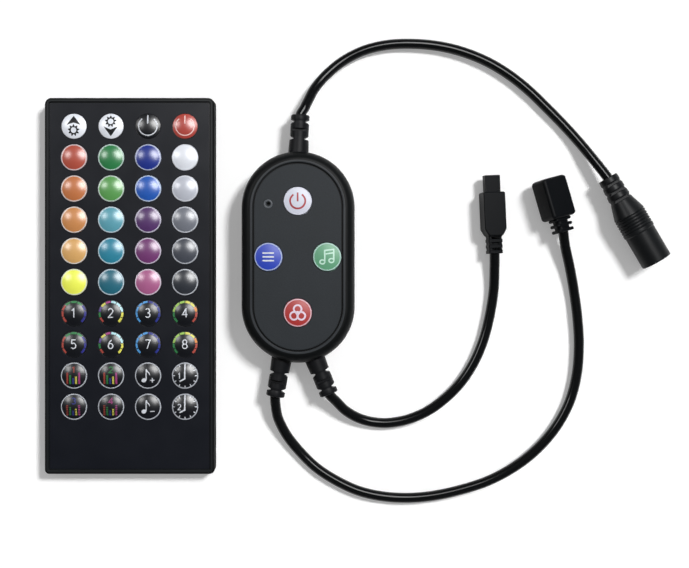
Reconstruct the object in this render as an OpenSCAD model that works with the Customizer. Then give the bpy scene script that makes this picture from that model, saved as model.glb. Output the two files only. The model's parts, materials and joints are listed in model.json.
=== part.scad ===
// Controller set for a colour LED strip: a remote handset with forty keys, an in-line
// control box with four buttons, and the box's three leads with their connectors.
// Lengths are in millimetres. The set lies on the plane z = 0, the handset on the left
// and the box on its right. The leads run on from the box to the right.

/* [Layout] */
// Free space between the handset and the control box
set_gap = 9.3; // [5:0.1:15]
// Distance of the box's middle beyond the handset's middle, towards the top
box_rise = 9.6; // [0:0.2:20]

/* [Handset shells] */
// Width of the handset
hand_w = 56.8; // [54:0.2:64]
// Length of the handset
hand_l = 126; // [122:1:140]
// Radius of the handset's corners
hand_corner_r = 2; // [1.8:0.1:4]
// Thickness of the side walls, whose top is the rim round the keys
hand_wall = 1.3; // [1.2:0.1:1.6]
// Radius of the outer edges of the rim and of the back
hand_edge_r = 0.6; // [0.3:0.1:0.8]
// Thickness of the back
hand_floor_t = 0.9; // [0.8:0.1:1.2]
// Thickness of the panel that the keys stand in
panel_t = 0.8; // [0.6:0.1:1.2]
// Depth of the panel below the rim
panel_recess = 0.4; // [0.2:0.1:0.8]
// Width of the groove round the panel
panel_groove_w = 0.35; // [0.2:0.05:0.45]
// Depth of the groove round the panel
panel_groove_d = 0.35; // [0.2:0.05:0.5]
// Diameter of the posts that hold the circuit board from above and below
hand_post_d = 2.4; // [1.6:0.2:2.8]

/* [Handset keys] */
// Distance between two columns of keys
key_pitch_x = 12.4; // [11.6:0.1:13]
// Distance between two rows of keys
key_pitch_y = 10.44; // [10.3:0.02:11]
// Distance of the first row from the handset's top edge
key_top_margin = 9.5; // [8.5:0.1:12]
// Diameter of a key
key_d = 8.8; // [7:0.1:9.4]
// Diameter of a key in the first row
key_top_row_d = 8.3; // [7:0.1:9.4]
// Width of the flat silver ring round a key's dome
key_ring_w = 0.45; // [0.3:0.05:0.8]
// Height of a key's ring above the panel
key_stand = 0.15; // [0.05:0.05:0.5]
// Height of a key's dome above its ring
key_dome_h = 0.8; // [0.4:0.1:1.5]
// Free space round a key in its opening
key_fit = 0.1; // [0.05:0.05:0.2]
// Width of the hidden flange that keeps a key in the handset, past its opening
key_flange_w = 0.25; // [0.2:0.05:0.3]
// Thickness of that flange
key_flange_t = 0.35; // [0.3:0.05:0.5]
// Diameter of the nub under a key
key_nub_d = 3; // [2:0.5:4]
// Length of the nub under a key
key_nub_h = 0.25; // [0.2:0.05:0.5]
// Travel of a key
key_travel = 0.35; // [0.2:0.05:0.4]

/* [Handset electronics] */
// Thickness of the handset's circuit board
hand_board_t = 0.8; // [0.6:0.1:1.2]
// Diameter of a snap dome under a key
snap_d = 5; // [4:0.5:6]
// Height of a snap dome
snap_h = 0.25; // [0.15:0.05:0.4]
// Diameter of the infrared emitter at the top end
emitter_d = 3; // [2:0.5:3]
// Length of the emitter's straight body
emitter_l = 3.8; // [3:0.2:6]
// Diameter of the coin cell
cell_d = 20; // [16:0.5:23]
// Thickness of the coin cell
cell_t = 2.5; // [2:0.1:3.2]
// Thickness of the contact that presses on the coin cell
cell_contact_t = 0.2; // [0.1:0.05:0.4]

/* [Battery drawer] */
// Free space round the coin cell in the drawer
cell_fit = 0.3; // [0.2:0.05:0.5]
// Thickness of the drawer's walls beside the coin cell
drawer_wall = 0.9; // [0.7:0.1:1.5]
// Free space between the drawer and its opening
drawer_fit = 0.15; // [0.1:0.05:0.3]
// Width of each of the drawer's two runners
runner_w = 0.8; // [0.6:0.1:1.2]
// Thickness of a runner
runner_t = 0.6; // [0.4:0.1:0.8]
// Thickness of the rails that guide the runners
rail_t = 1; // [0.8:0.1:1.4]

/* [Control box shells] */
// Width of the box
box_w = 37.7; // [36.5:0.1:42]
// Length of the box
box_l = 70.4; // [69:0.2:80]
// Thickness of the box's walls
box_wall = 1.6; // [1.4:0.1:2]
// Thickness of the bottom
box_floor_t = 1.5; // [1.2:0.1:2]
// Radius of the bottom's outer edge
box_edge_r = 1.2; // [0.6:0.1:1.4]
// Height at which the cover's side starts to curve inwards
box_shoulder_z = 8.6; // [8:0.1:9.5]
// Width of the curved shoulder, from the side to the ridge
shoulder_w = 2.9; // [2.4:0.1:3.2]
// Width of the flat ridge round the face
ridge_w = 0.8; // [0.5:0.1:1.2]
// Width of the groove between the ridge and the face
face_groove_w = 0.4; // [0.2:0.05:0.6]
// Depth of that groove below the face
face_groove_d = 0.3; // [0.2:0.05:0.5]
// Depth of the face below the ridge
face_recess = 0.5; // [0.3:0.1:0.8]
// Thickness of the face
face_t = 1.4; // [1.2:0.1:1.8]
// Distance of the microphone's hole left of the middle
mic_left = 9.8; // [9:0.1:10.5]
// Distance of the microphone's hole above the middle
mic_rise = 17.5; // [17:0.1:18]
// Diameter of the microphone's hole
mic_hole_d = 1.2; // [0.8:0.1:1.6]
// Diameter of the dish round the hole
mic_dish_d = 3; // [2:0.2:4]
// Depth of that dish
mic_dish_h = 0.5; // [0.2:0.1:0.8]

/* [Box buttons] */
// Distance of the upper and the lower button from the middle
button_reach_y = 18.45; // [17.5:0.1:19]
// Distance of the left and the right button from the middle
button_reach_x = 9.7; // [9.2:0.1:10.2]
// Diameter of a button
button_d = 9.3; // [8:0.1:9.8]
// Width of the ring round a button's printed disc
button_ring_w = 0.5; // [0.3:0.05:0.8]
// Height of a button's ring above the face
button_stand = 0.45; // [0.2:0.05:0.8]
// Height of a button's low dome above its ring
button_dome_h = 0.35; // [0.2:0.05:0.8]
// Free space round a button in its opening
button_fit = 0.15; // [0.1:0.05:0.25]
// Width of the hidden flange that keeps a button in the box, past its opening
button_flange_w = 0.5; // [0.3:0.1:0.8]
// Thickness of that flange
button_flange_t = 0.6; // [0.4:0.1:1]
// Diameter of a button's stem
button_stem_d = 4; // [3:0.5:5]
// Length of a button's stem
button_stem_h = 0.75; // [0.5:0.05:1.2]
// Travel of a button
button_travel = 0.3; // [0.2:0.05:0.5]

/* [Box electronics] */
// Height of the posts under the box's circuit board
box_post_h = 2.3; // [2:0.1:3]
// Diameter of those posts
box_post_d = 3; // [2.4:0.2:4]
// Thickness of the box's circuit board
box_board_t = 1.2; // [0.8:0.1:1.6]
// Free space between the board's edge and the box's walls
box_board_inset = 3.4; // [3.2:0.1:3.8]
// Side of a switch's square body
switch_w = 6; // [5:0.2:6.4]
// Height of a switch's body
switch_h = 3.5; // [3:0.1:4.5]
// Diameter of a switch's plunger
plunger_d = 3.5; // [3:0.1:4]
// Height of the plunger above the switch's body
plunger_h = 0.8; // [0.5:0.1:1.2]
// Diameter of the microphone capsule
mic_capsule_d = 6; // [4:0.2:6.2]
// Height of the microphone capsule
mic_capsule_h = 5.2; // [4:0.1:5.4]

/* [Cable glands] */
// Height of the glands' axes and of the joint between the box's shells
gland_z = 6.2; // [5.8:0.1:6.6]
// Distance of the two lower glands from the box's middle line
gland_spread = 5.65; // [5:0.05:7]
// Lean of the top gland to the right, in degrees
gland_top_lean = 3; // [0:1:8]
// Lean of the lower left gland outwards, in degrees
gland_left_lean = 10; // [6:1:16]
// Lean of the lower right gland outwards, in degrees
gland_right_lean = 22; // [14:1:24]
// Diameter of a gland's collar at the box
collar_d = 6.9; // [6:0.1:7]
// Diameter of the collar at its other end
collar_end_d = 6.5; // [6:0.1:7]
// Length of a gland's collar
collar_l = 3.9; // [3:0.1:5]
// Diameter of a gland's ribbed middle
ribbed_d = 6.2; // [5.6:0.1:6.6]
// Length of a gland's ribbed middle
ribbed_l = 5.1; // [4:0.1:7]
// Length of the flange at a gland's free end
end_flange_l = 1.9; // [1.4:0.1:3]
// Width of the slots that let a gland bend
gland_slot_w = 0.65; // [0.4:0.05:0.9]
// Thickness of the gland's skin round the cord at those slots
gland_skin_t = 0.15; // [0.15:0.05:0.4]
// Diameter of a gland's neck in the box's wall
neck_d = 4.8; // [4.4:0.1:5.4]
// Width of a gland's flange inside the wall, past its neck
lock_flange_w = 1.1; // [0.8:0.1:1.3]
// Thickness of that flange
lock_flange_t = 1.2; // [0.8:0.1:1.4]

/* [Leads] */
// Diameter of the three cords
cord_d = 3.4; // [3:0.1:3.8]

/* [Power socket] */
// Place of the power socket's cord end, right of the origin
jack_x = 136.9; // [130:0.1:145]
// Place of the power socket's cord end, above the origin
jack_y = 36.3; // [30:0.1:42]
// Heading of the power socket, in degrees from the right
jack_heading = -59.6; // [-65:0.2:-55]
// Diameter of the socket's barrel
jack_barrel_d = 10.4; // [9.6:0.1:12]
// Length of the smooth barrel
jack_barrel_l = 11.3; // [10.5:0.1:14]
// Length of the grip with its fine grooves
jack_grip_l = 7; // [5:0.5:10]
// Height of the grip above the barrel
jack_grip_rise = 0.25; // [0.1:0.05:0.5]
// Length of the cone behind the grip
jack_cone_l = 5.2; // [4:0.1:8]
// Diameter of the strain relief at the cord
relief_d = 6.6; // [6:0.1:7.2]
// Diameter of the strain relief at the cone
relief_end_d = 7.7; // [7:0.1:8.6]
// Length of the strain relief
relief_l = 9; // [7:0.5:12]
// Diameter of the hole for the supply's plug
jack_bore_d = 5.8; // [5.6:0.1:6.4]
// Depth of that hole
jack_bore_l = 9.6; // [9:0.1:10.4]
// Diameter of the pin in the hole
jack_pin_d = 2; // [1.9:0.1:2.4]
// Distance of the pin's tip behind the barrel's mouth
jack_pin_drop = 0.8; // [0.4:0.1:1.5]

/* [Strip plug] */
// Place of the strip plug's cord end, right of the origin
plug_x = 99.1; // [95:0.1:104]
// Place of the strip plug's cord end, above the origin
plug_y = 10.9; // [5:0.1:16]
// Heading of the strip plug, in degrees from the right
plug_heading = 92.5; // [85:0.5:95]
// Roll of the strip plug about its axis, in degrees
plug_roll = 10; // [0:1:15]
// Width of the plug's body
plug_w = 7.6; // [6.6:0.1:8.4]
// Thickness of the plug's body
plug_h = 6.2; // [5.4:0.1:7]
// Length of the plug's body
plug_l = 12.5; // [10:0.1:16]
// Width of the plug's nose
nose_w = 5.3; // [4.8:0.1:6]
// Thickness of the plug's nose
nose_h = 3.1; // [2.4:0.1:3.6]
// Length of the plug's nose
nose_l = 5.7; // [4:0.1:7]
// Length of the plug's taper towards the strain relief
plug_taper_l = 2.2; // [1.5:0.1:3]
// Width of the plug's strain relief
plug_relief_w = 4.9; // [4.6:0.1:6]
// Thickness of the plug's strain relief
plug_relief_h = 4.5; // [4.2:0.1:5.2]
// Length of the plug's strain relief
plug_relief_l = 6; // [5.8:0.1:8]

/* [Strip socket] */
// Place of the strip socket's cord end, right of the origin
socket_x = 122; // [116:0.5:128]
// Place of the strip socket's cord end, above the origin
socket_y = 18.1; // [12:0.1:24]
// Heading of the strip socket, in degrees from the right
socket_heading = 106.2; // [100:0.2:112]
// Roll of the strip socket about its axis, in degrees
socket_roll = 26; // [0:1:30]
// Width of the socket's block
socket_w = 9.6; // [9:0.1:11]
// Thickness of the socket's block
socket_h = 8; // [6.6:0.1:8.6]
// Length of the socket's block
socket_l = 13.9; // [11:0.1:16]
// Radius of the block's long edges
socket_edge_r = 1.1; // [0.4:0.1:1.4]
// Width of the ridges on the socket's strain relief
socket_relief_w = 6.6; // [6:0.1:7.4]
// Thickness of the socket's strain relief over its ridges
socket_relief_h = 5.2; // [5:0.1:6]
// Length of the socket's strain relief
socket_relief_l = 4.8; // [4.6:0.1:7]
// Width of the strain relief between its ridges
socket_core_w = 4.8; // [4.4:0.1:6]
// Thickness of the strain relief between its ridges
socket_core_h = 4; // [3.8:0.1:4.8]
// Free space round the plug's nose in the socket
nose_fit = 0.15; // [0.1:0.05:0.25]
// Side of the square pins in the socket
pin_w = 0.5; // [0.4:0.05:0.6]
// Distance between two pins
pin_pitch = 1.2; // [1:0.05:1.3]

/* [Hidden] */
$fn = 48;

// The sub-parts
key_names = [
  "key_brighter", "key_dimmer", "key_off", "key_on",
  "key_red", "key_green", "key_blue", "key_white",
  "key_orange_red", "key_light_green", "key_sky_blue", "key_pale_grey",
  "key_orange", "key_turquoise", "key_violet", "key_mid_grey",
  "key_amber", "key_teal_blue", "key_purple", "key_dark_grey",
  "key_yellow", "key_dark_teal", "key_pink", "key_charcoal",
  "key_jump_3", "key_fade_3", "key_flash", "key_fast",
  "key_jump_7", "key_fade_7", "key_auto", "key_slow",
  "key_music_1", "key_music_2", "key_mic_up", "key_timer_1",
  "key_music_3", "key_music_4", "key_mic_down", "key_timer_2"
];
key_colours = [
  "white", "white", "black", "firebrick",
  "firebrick", "seagreen", "royalblue", "white",
  "coral", "limegreen", "dodgerblue", "lightgrey",
  "darkorange", "lightseagreen", "indigo", "grey",
  "orange", "steelblue", "purple", "dimgrey",
  "yellow", "darkcyan", "palevioletred", "darkslategrey"
];
key_black = "black";
button_names = ["button_power", "button_mode", "button_music", "button_colour"];
button_colours = ["white", "royalblue", "mediumseagreen", "firebrick"];

// Clearances and small steps that several pieces share
play = 0.05;
overrun = 1;
tongue_h = 0.8;
tongue_gap = 0.1;
board_gap = 0.2;
window_gap = 0.1;
arc_steps = 8;

// Places of the handset and of the box in the set
set_w = hand_w + set_gap + box_w;
hand_x = hand_w / 2 - set_w / 2;
box_x = set_w / 2 - box_w / 2;

// Levels in the handset, from its back up to its domes
cell_z = hand_floor_t + play;
hand_board_z = cell_z + cell_t + play + cell_contact_t;
hand_board_top = hand_board_z + hand_board_t;
hand_split_z = hand_board_z - 2 * play;
key_nub_z = hand_board_top + snap_h + key_travel + play;
key_flange_z = key_nub_z + key_nub_h;
panel_z = key_flange_z + key_flange_t + play;
panel_top = panel_z + panel_t;
hand_h = panel_top + panel_recess;
key_ring_z = panel_top + key_stand;

// The grid of keys
key_columns = 4;
key_first_y = hand_l / 2 - key_top_margin;
function key_x(i) = (i % key_columns - (key_columns - 1) / 2) * key_pitch_x;
function key_y(i) = key_first_y - floor(i / key_columns) * key_pitch_y;
function is_top_row(i) = i < key_columns;
function key_size(i) = is_top_row(i) ? key_top_row_d : key_d;
hand_post_side = hand_wall + hand_post_d;
hand_post_share = [-0.12, 0.06, 0.24, 0.42];
panel_post_rows = [1.5, 4.5, 7.5];

// The battery drawer and its rails
pocket_d = cell_d + 2 * cell_fit;
drawer_w = pocket_d + 2 * drawer_wall;
drawer_l = hand_wall + pocket_d + 2 * drawer_wall;
drawer_front_w = drawer_w + 2 * runner_w;
cell_y = -hand_l / 2 + hand_wall + drawer_wall + pocket_d / 2;
runner_z = hand_floor_t + play;
tray_rim_share = 0.85;
nail_notch_r = 3;
nail_notch_d = 0.5;
nail_notch_w = 9;

// The emitter in the handset's top end
emitter_z = hand_split_z;
emitter_tip_y = hand_l / 2 - play;
emitter_back_y = emitter_tip_y - emitter_d / 2 - emitter_l;
emitter_leg_w = 0.5;

// The contact under the handset's board, as shares of the coin cell's diameter
contact_l_share = 0.4;
contact_w_share = 0.2;
crimp_share = 0.2;
can_d_share = 0.9;

// Levels in the control box
box_r = box_w / 2;
box_board_z = box_floor_t + box_post_h;
box_board_top = box_board_z + box_board_t;
button_stem_z = box_board_top + switch_h + plunger_h + button_travel + play;
button_flange_z = button_stem_z + button_stem_h;
face_z = button_flange_z + button_flange_t + 2 * play;
face_top = face_z + face_t;
box_h = face_top + face_recess;
button_ring_z = face_top + button_stand;
ridge_inset = shoulder_w + ridge_w;
face_inset = ridge_inset + face_groove_w;
button_places = [
  [0, button_reach_y], [-button_reach_x, 0], [button_reach_x, 0], [0, -button_reach_y]
];
box_post_places_share = [[0.45, 0.5], [-0.45, 0.5], [0.45, -0.5], [-0.45, -0.5]];

// The larger pieces on the box's circuit board
board_inset = box_wall + box_board_inset;
chip_w_share = 0.16;
chip_l_share = 0.13;
chip_t = 1.5;
transistors = 3;
transistor_w = 3;
transistor_t = 1.3;

// The glands: where each axis crosses the box's side, and its heading in degrees
gland_side_y = box_l / 2 - box_r + sqrt(pow(box_r, 2) - pow(gland_spread, 2));
gland_places = [
  [box_x, box_rise + box_l / 2],
  [box_x - gland_spread, box_rise - gland_side_y],
  [box_x + gland_spread, box_rise - gland_side_y]
];
gland_headings = [90 - gland_top_lean, 270 - gland_left_lean, 270 + gland_right_lean];
gland_stand = 0.3;
gland_l = gland_stand + collar_l + ribbed_l + end_flange_l + 2 * gland_slot_w;
gland_core = cord_d / 2 + gland_skin_t;
lock_flange_gap = 0.95;

// The cords lie on the plane that the set lies on, and rise to what they end in
cord_r = cord_d / 2;
cord_sides = 8;
cord_z = 1.8;
jack_z = jack_barrel_d / 2 + jack_grip_rise + play;
plug_z = plug_h / 2 * cos(plug_roll) + plug_w / 2 * sin(plug_roll) + play;
socket_z = (socket_h / 2 - socket_edge_r) * cos(socket_roll)
  + (socket_w / 2 - socket_edge_r) * sin(socket_roll) + socket_edge_r + play;
power_route = [
  [35.1, 59.8, 5.8], [36.2, 62.2, 5], [38.5, 66.7, 3.4], [42.4, 71.5, 2.2], [48.2, 76.3, cord_z],
  [55.5, 79.9, cord_z], [63.5, 81.7, cord_z], [72, 82, cord_z], [80.6, 81.2, cord_z],
  [88.8, 79.2, cord_z], [96.7, 76, cord_z], [104.1, 71.6, cord_z], [110.8, 66.3, cord_z],
  [116.8, 60.5, cord_z], [122.5, 54.7, cord_z], [127.5, 49, 2.4], [131.9, 43.2, 4]
];
inner_route = [
  [45.7, -38.8, 5], [48.8, -42, 3.6], [53, -44.6, 2.4], [58, -46.1, cord_z],
  [63.5, -46.4, cord_z], [70, -45.2, cord_z], [76.6, -42.4, cord_z], [82.6, -38.1, cord_z],
  [87.9, -32.7, cord_z], [92.3, -26, cord_z], [95.6, -18.2, cord_z], [97.7, -10, cord_z],
  [99, -1.6, 2], [99.2, 5.5, 2.8]
];
outer_route = [
  [25.5, -41.5, 5], [26.4, -45.4, 3.6], [29.2, -50.9, 2.3], [33.6, -56.4, cord_z],
  [39, -61.6, cord_z], [45.6, -65.9, cord_z], [53.2, -69.4, cord_z], [61.5, -71.3, cord_z],
  [70.5, -71.8, cord_z], [79.6, -70.9, cord_z], [88.8, -68.8, cord_z], [97.7, -65.8, cord_z],
  [106.2, -61.2, cord_z], [113.8, -55.2, cord_z], [120.2, -47.7, cord_z],
  [124.8, -39.1, cord_z], [127.2, -29.8, cord_z], [127.9, -20.2, cord_z],
  [127.4, -10.8, cord_z], [126.2, -1.6, cord_z], [124.7, 6.1, 2.6], [122.9, 13.3, 4]
];

// The power socket's length, section by section, and the slots across its two faces,
// whose reach is the distance of their bottom from the axis
jack_grip_z = relief_l + jack_cone_l;
jack_barrel_z = jack_grip_z + jack_grip_l;
jack_l = jack_barrel_z + jack_barrel_l;
relief_slots = 3;
relief_slot_pitch = 2.9;
relief_slot_w = 0.8;
relief_slot_reach = 2.4;
grip_slots = 6;
grip_slot_pitch = 1.02;
grip_slot_w = 0.4;
grip_slot_reach = 4.7;
jack_mouth_chamfer = 0.3;

// The strip connectors' lengths, section by section
plug_body_z = plug_relief_l + plug_taper_l;
nose_z = plug_body_z + plug_l;
plug_edge = 0.5;
plug_end_flange_l = 1.1;
plug_slots = 3;
plug_slot_pitch = 1.9;
socket_mouth_z = socket_relief_l + socket_l;
socket_ridges = 3;
ridge_pitch = 1.9;
ridge_t = 0.85;
nose_hole_w = pin_w + 2 * play;
pins = 4;
pin_l = nose_l - 2 * nose_fit;
face_slot_share = 0.5;

// An arc's points about a centre, from one angle to another
function arc(centre, rx, ry, from, to) = [
  for (i = [0 : arc_steps])
    let (a = from + (to - from) * i / arc_steps) centre + [rx * cos(a), ry * sin(a)]
];

// Whether the ends of a rounded rectangle are half circles
function is_stadium(w, r) = w - 2 * r < play;

// A rounded rectangle, drawn about the origin
module rounded_rect(w, l, r) {
  square([w, l - 2 * r], center = true);
  if (!is_stadium(w, r))
    square([w - 2 * r, l], center = true);
  for (sx = is_stadium(w, r) ? [0] : [-1, 1], sy = [-1, 1])
    translate([sx * (w / 2 - r), sy * (l / 2 - r)])
      circle(r);
}

// A plate with the outline of a rounded rectangle
module plate(w, l, r, z, h) {
  translate([0, 0, z])
    linear_extrude(h)
      rounded_rect(w, l, r);
}

// Sweeps a profile round a rounded rectangle. The profile's first axis runs inwards from
// the outline, and its second axis is the height.
module sweep_round(w, l, r) {
  for (sx = [-1, 1], sy = [-1, 1])
    translate([sx * (w / 2 - r), sy * (l / 2 - r), 0])
      rotate([0, 0, sy > 0 ? (sx > 0 ? 0 : 90) : (sx > 0 ? 270 : 180)])
        rotate_extrude(angle = 90)
          translate([r, 0])
            mirror([1, 0])
              children();
  for (turn = [0, 180]) {
    rotate([0, 0, turn])
      translate([w / 2, l / 2 - r, 0])
        rotate([90, 0, 0])
          linear_extrude(l - 2 * r)
            mirror([1, 0])
              children();
    if (!is_stadium(w, r))
      rotate([0, 0, turn + 90])
        translate([l / 2, w / 2 - r, 0])
          rotate([90, 0, 0])
            linear_extrude(w - 2 * r)
              mirror([1, 0])
                children();
  }
}

// The cap of a sphere, with a round foot of diameter d and of height h
module cap(d, h) {
  sphere_r = (pow(d / 2, 2) + pow(h, 2)) / (2 * h);
  intersection() {
    translate([0, 0, h - sphere_r])
      sphere(sphere_r);
    cylinder(h = h + overrun, d = d);
  }
}

// Lays a piece that is built upwards from its cord end on its side. Its own first axis
// then points down, and its second axis to the left of the heading.
module lay(x, y, z, heading, roll = 0) {
  translate([x, y, z])
    rotate([0, 0, heading])
      rotate([0, 90, 0])
        rotate([0, 0, roll])
          children();
}

// A key or a button: nub, hidden flange, straight side, ring and dome
module push_piece(d, ring_w, dome_h, nub_d, nub_z, flange_z, flange_t, flange_d, ring_z) {
  translate([0, 0, nub_z])
    cylinder(h = flange_z - nub_z + flange_t, d = nub_d);
  translate([0, 0, flange_z])
    cylinder(h = flange_t, d = flange_d);
  translate([0, 0, flange_z])
    cylinder(h = ring_z - flange_z, d = d);
  translate([0, 0, ring_z - play])
    cylinder(h = play, d = d - 2 * ring_w);
  translate([0, 0, ring_z])
    cap(d - 2 * ring_w, dome_h);
}

// Handset

module handset_key(i) {
  d = key_size(i);
  opening_d = d + 2 * key_fit;
  color(i < len(key_colours) ? key_colours[i] : key_black)
    translate([hand_x + key_x(i), key_y(i), 0])
      push_piece(d, is_top_row(i) ? 0 : key_ring_w, key_dome_h, key_nub_d, key_nub_z,
                 key_flange_z, key_flange_t, opening_d + 2 * key_flange_w, key_ring_z);
}

// The half of the emitter's window that each shell has
module emitter_window() {
  translate([0, hand_l / 2 + overrun, emitter_z])
    rotate([90, 0, 0])
      cylinder(h = hand_wall + 2 * overrun, d = emitter_d + 2 * window_gap);
}

module handset_front_shell() {
  rim = concat(
    [[hand_wall, hand_split_z + tongue_h + tongue_gap],
     [hand_wall / 2, hand_split_z + tongue_h + tongue_gap],
     [hand_wall / 2, hand_split_z], [0, hand_split_z]],
    arc([hand_edge_r, hand_h - hand_edge_r], hand_edge_r, hand_edge_r, 180, 90),
    [[hand_wall, hand_h]]
  );
  color("darkslategrey")
    translate([hand_x, 0, 0]) {
      difference() {
        union() {
          sweep_round(hand_w, hand_l, hand_corner_r)
            polygon(rim);
          plate(hand_w - hand_wall, hand_l - hand_wall, hand_corner_r - hand_wall / 2,
                panel_z, panel_t);
        }
        sweep_round(hand_w, hand_l, hand_corner_r)
          translate([hand_wall, panel_top - panel_groove_d])
            square([panel_groove_w, panel_groove_d + overrun]);
        for (i = [0 : len(key_names) - 1])
          translate([key_x(i), key_y(i), panel_z - overrun])
            cylinder(h = panel_t + 2 * overrun, d = key_size(i) + 2 * key_fit);
        emitter_window();
      }
      for (sx = [-1, 1], row = panel_post_rows)
        translate([sx * key_pitch_x, key_first_y - row * key_pitch_y, hand_board_top + play])
          cylinder(h = panel_z - hand_board_top, d = hand_post_d);
    }
}

// The outer wall of the back shell, which the drawer's front continues
module handset_back_wall() {
  sweep_round(hand_w, hand_l, hand_corner_r)
    polygon(concat(
      [[hand_wall, hand_split_z], [0, hand_split_z]],
      arc([hand_edge_r, hand_edge_r], hand_edge_r, hand_edge_r, 180, 270),
      [[hand_wall, 0]]
    ));
}

module handset_back_shell() {
  rail_x = drawer_front_w / 2 + drawer_fit;
  rail_in_x = drawer_w / 2 + drawer_fit;
  lip_z = runner_z + runner_t + 2 * play;
  lip_t = runner_t;
  rail_h = hand_split_z - lip_z - lip_t;
  color("darkslategrey")
    translate([hand_x, 0, 0]) {
      difference() {
        union() {
          handset_back_wall();
          plate(hand_w - hand_wall, hand_l - hand_wall, hand_corner_r - hand_wall / 2,
                0, hand_floor_t);
          sweep_round(hand_w, hand_l, hand_corner_r)
            translate([hand_wall / 2 + play, hand_split_z - play])
              square([hand_wall / 2 - play, tongue_h + play]);
        }
        emitter_window();
        translate([-drawer_front_w / 2 - drawer_fit, -hand_l / 2 - overrun, -overrun])
          cube([drawer_front_w + 2 * drawer_fit, overrun + hand_wall + drawer_fit,
                hand_split_z + tongue_h + 2 * overrun]);
        translate([-rail_in_x, -hand_l / 2, -overrun])
          cube([2 * rail_in_x, drawer_l + drawer_fit, hand_floor_t + 2 * overrun]);
      }
      for (sx = [0, 1])
        mirror([sx, 0, 0])
          translate([0, -hand_l / 2 + drawer_l, 0])
            rotate([90, 0, 0])
              linear_extrude(drawer_l - hand_wall - drawer_fit)
                polygon([
                  [rail_x, hand_floor_t], [rail_x, lip_z], [rail_in_x, lip_z],
                  [rail_in_x, lip_z + lip_t], [rail_x, lip_z + lip_t],
                  [rail_x, lip_z + lip_t + rail_h], [rail_x + rail_t, lip_z + lip_t + rail_h],
                  [rail_x + rail_t, hand_floor_t]
                ]);
      for (sx = [-1, 1], share = hand_post_share)
        translate([sx * (hand_w / 2 - hand_post_side), share * hand_l, hand_floor_t])
          cylinder(h = hand_board_z - hand_floor_t - play, d = hand_post_d);
    }
}

module handset_board() {
  board_w = hand_w - 2 * (hand_wall + board_gap);
  board_l = hand_l - 2 * (hand_wall + board_gap);
  contact_l = cell_d * contact_l_share;
  contact_w = cell_d * contact_w_share;
  notch_y = emitter_back_y - 2 * emitter_leg_w;
  color("darkgreen")
    translate([hand_x, 0, 0]) {
      difference() {
        plate(board_w, board_l, hand_corner_r - hand_wall, hand_board_z, hand_board_t);
        translate([-emitter_d, notch_y, hand_board_z - overrun])
          cube([2 * emitter_d, hand_l, hand_board_t + 2 * overrun]);
      }
      for (i = [0 : len(key_names) - 1])
        translate([key_x(i), key_y(i), hand_board_top])
          cap(snap_d, snap_h);
      translate([-contact_l / 2, cell_y - contact_w / 2, hand_board_z - cell_contact_t])
        cube([contact_l, contact_w, cell_contact_t]);
      translate([0, emitter_back_y, emitter_z])
        rotate([-90, 0, 0])
          cylinder(h = emitter_l, d = emitter_d);
      translate([0, emitter_tip_y - emitter_d / 2, emitter_z])
        sphere(d = emitter_d);
      for (sx = [-1, 1])
        translate([sx * emitter_d / 4 - emitter_leg_w / 2, notch_y - emitter_leg_w,
                   hand_board_z])
          cube([emitter_leg_w, emitter_back_y - notch_y + 2 * emitter_leg_w, emitter_leg_w]);
    }
}

module battery_drawer() {
  tray_h = cell_z + cell_t * tray_rim_share;
  color("darkslategrey")
    translate([hand_x, 0, 0]) {
      difference() {
        intersection() {
          handset_back_wall();
          translate([-drawer_front_w / 2, -hand_l / 2 - overrun, -overrun])
            cube([drawer_front_w, overrun + hand_wall, hand_split_z + overrun - play]);
        }
        translate([-nail_notch_w / 2, -hand_l / 2 + nail_notch_d - nail_notch_r, 0])
          rotate([0, 90, 0])
            cylinder(h = nail_notch_w, r = nail_notch_r);
      }
      difference() {
        union() {
          translate([-drawer_w / 2, -hand_l / 2 + hand_wall - play, 0])
            cube([drawer_w, drawer_l - hand_wall + play, tray_h]);
          translate([-drawer_front_w / 2, -hand_l / 2 + hand_wall - play, runner_z])
            cube([drawer_front_w, drawer_l - hand_wall + play, runner_t]);
        }
        translate([0, cell_y, hand_floor_t])
          cylinder(h = hand_h, d = pocket_d);
      }
    }
}

module coin_cell() {
  color("silver")
    translate([hand_x, cell_y, cell_z]) {
      cylinder(h = cell_t * (1 - crimp_share), d = cell_d);
      cylinder(h = cell_t, d = cell_d * can_d_share);
    }
}

// Control box

module box_button(i) {
  opening_d = button_d + 2 * button_fit;
  color(button_colours[i])
    translate([box_x + button_places[i][0], box_rise + button_places[i][1], 0])
      push_piece(button_d, button_ring_w, button_dome_h, button_stem_d, button_stem_z,
                 button_flange_z, button_flange_t, opening_d + 2 * button_flange_w,
                 button_ring_z);
}

// The round ways through the box's wall for the three glands' necks
module gland_ways() {
  for (i = [0 : len(gland_places) - 1])
    lay(gland_places[i][0], gland_places[i][1], gland_z, gland_headings[i])
      translate([0, 0, -box_wall - 2 * overrun])
        cylinder(h = box_wall + 3 * overrun, d = neck_d + 2 * play);
}

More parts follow.
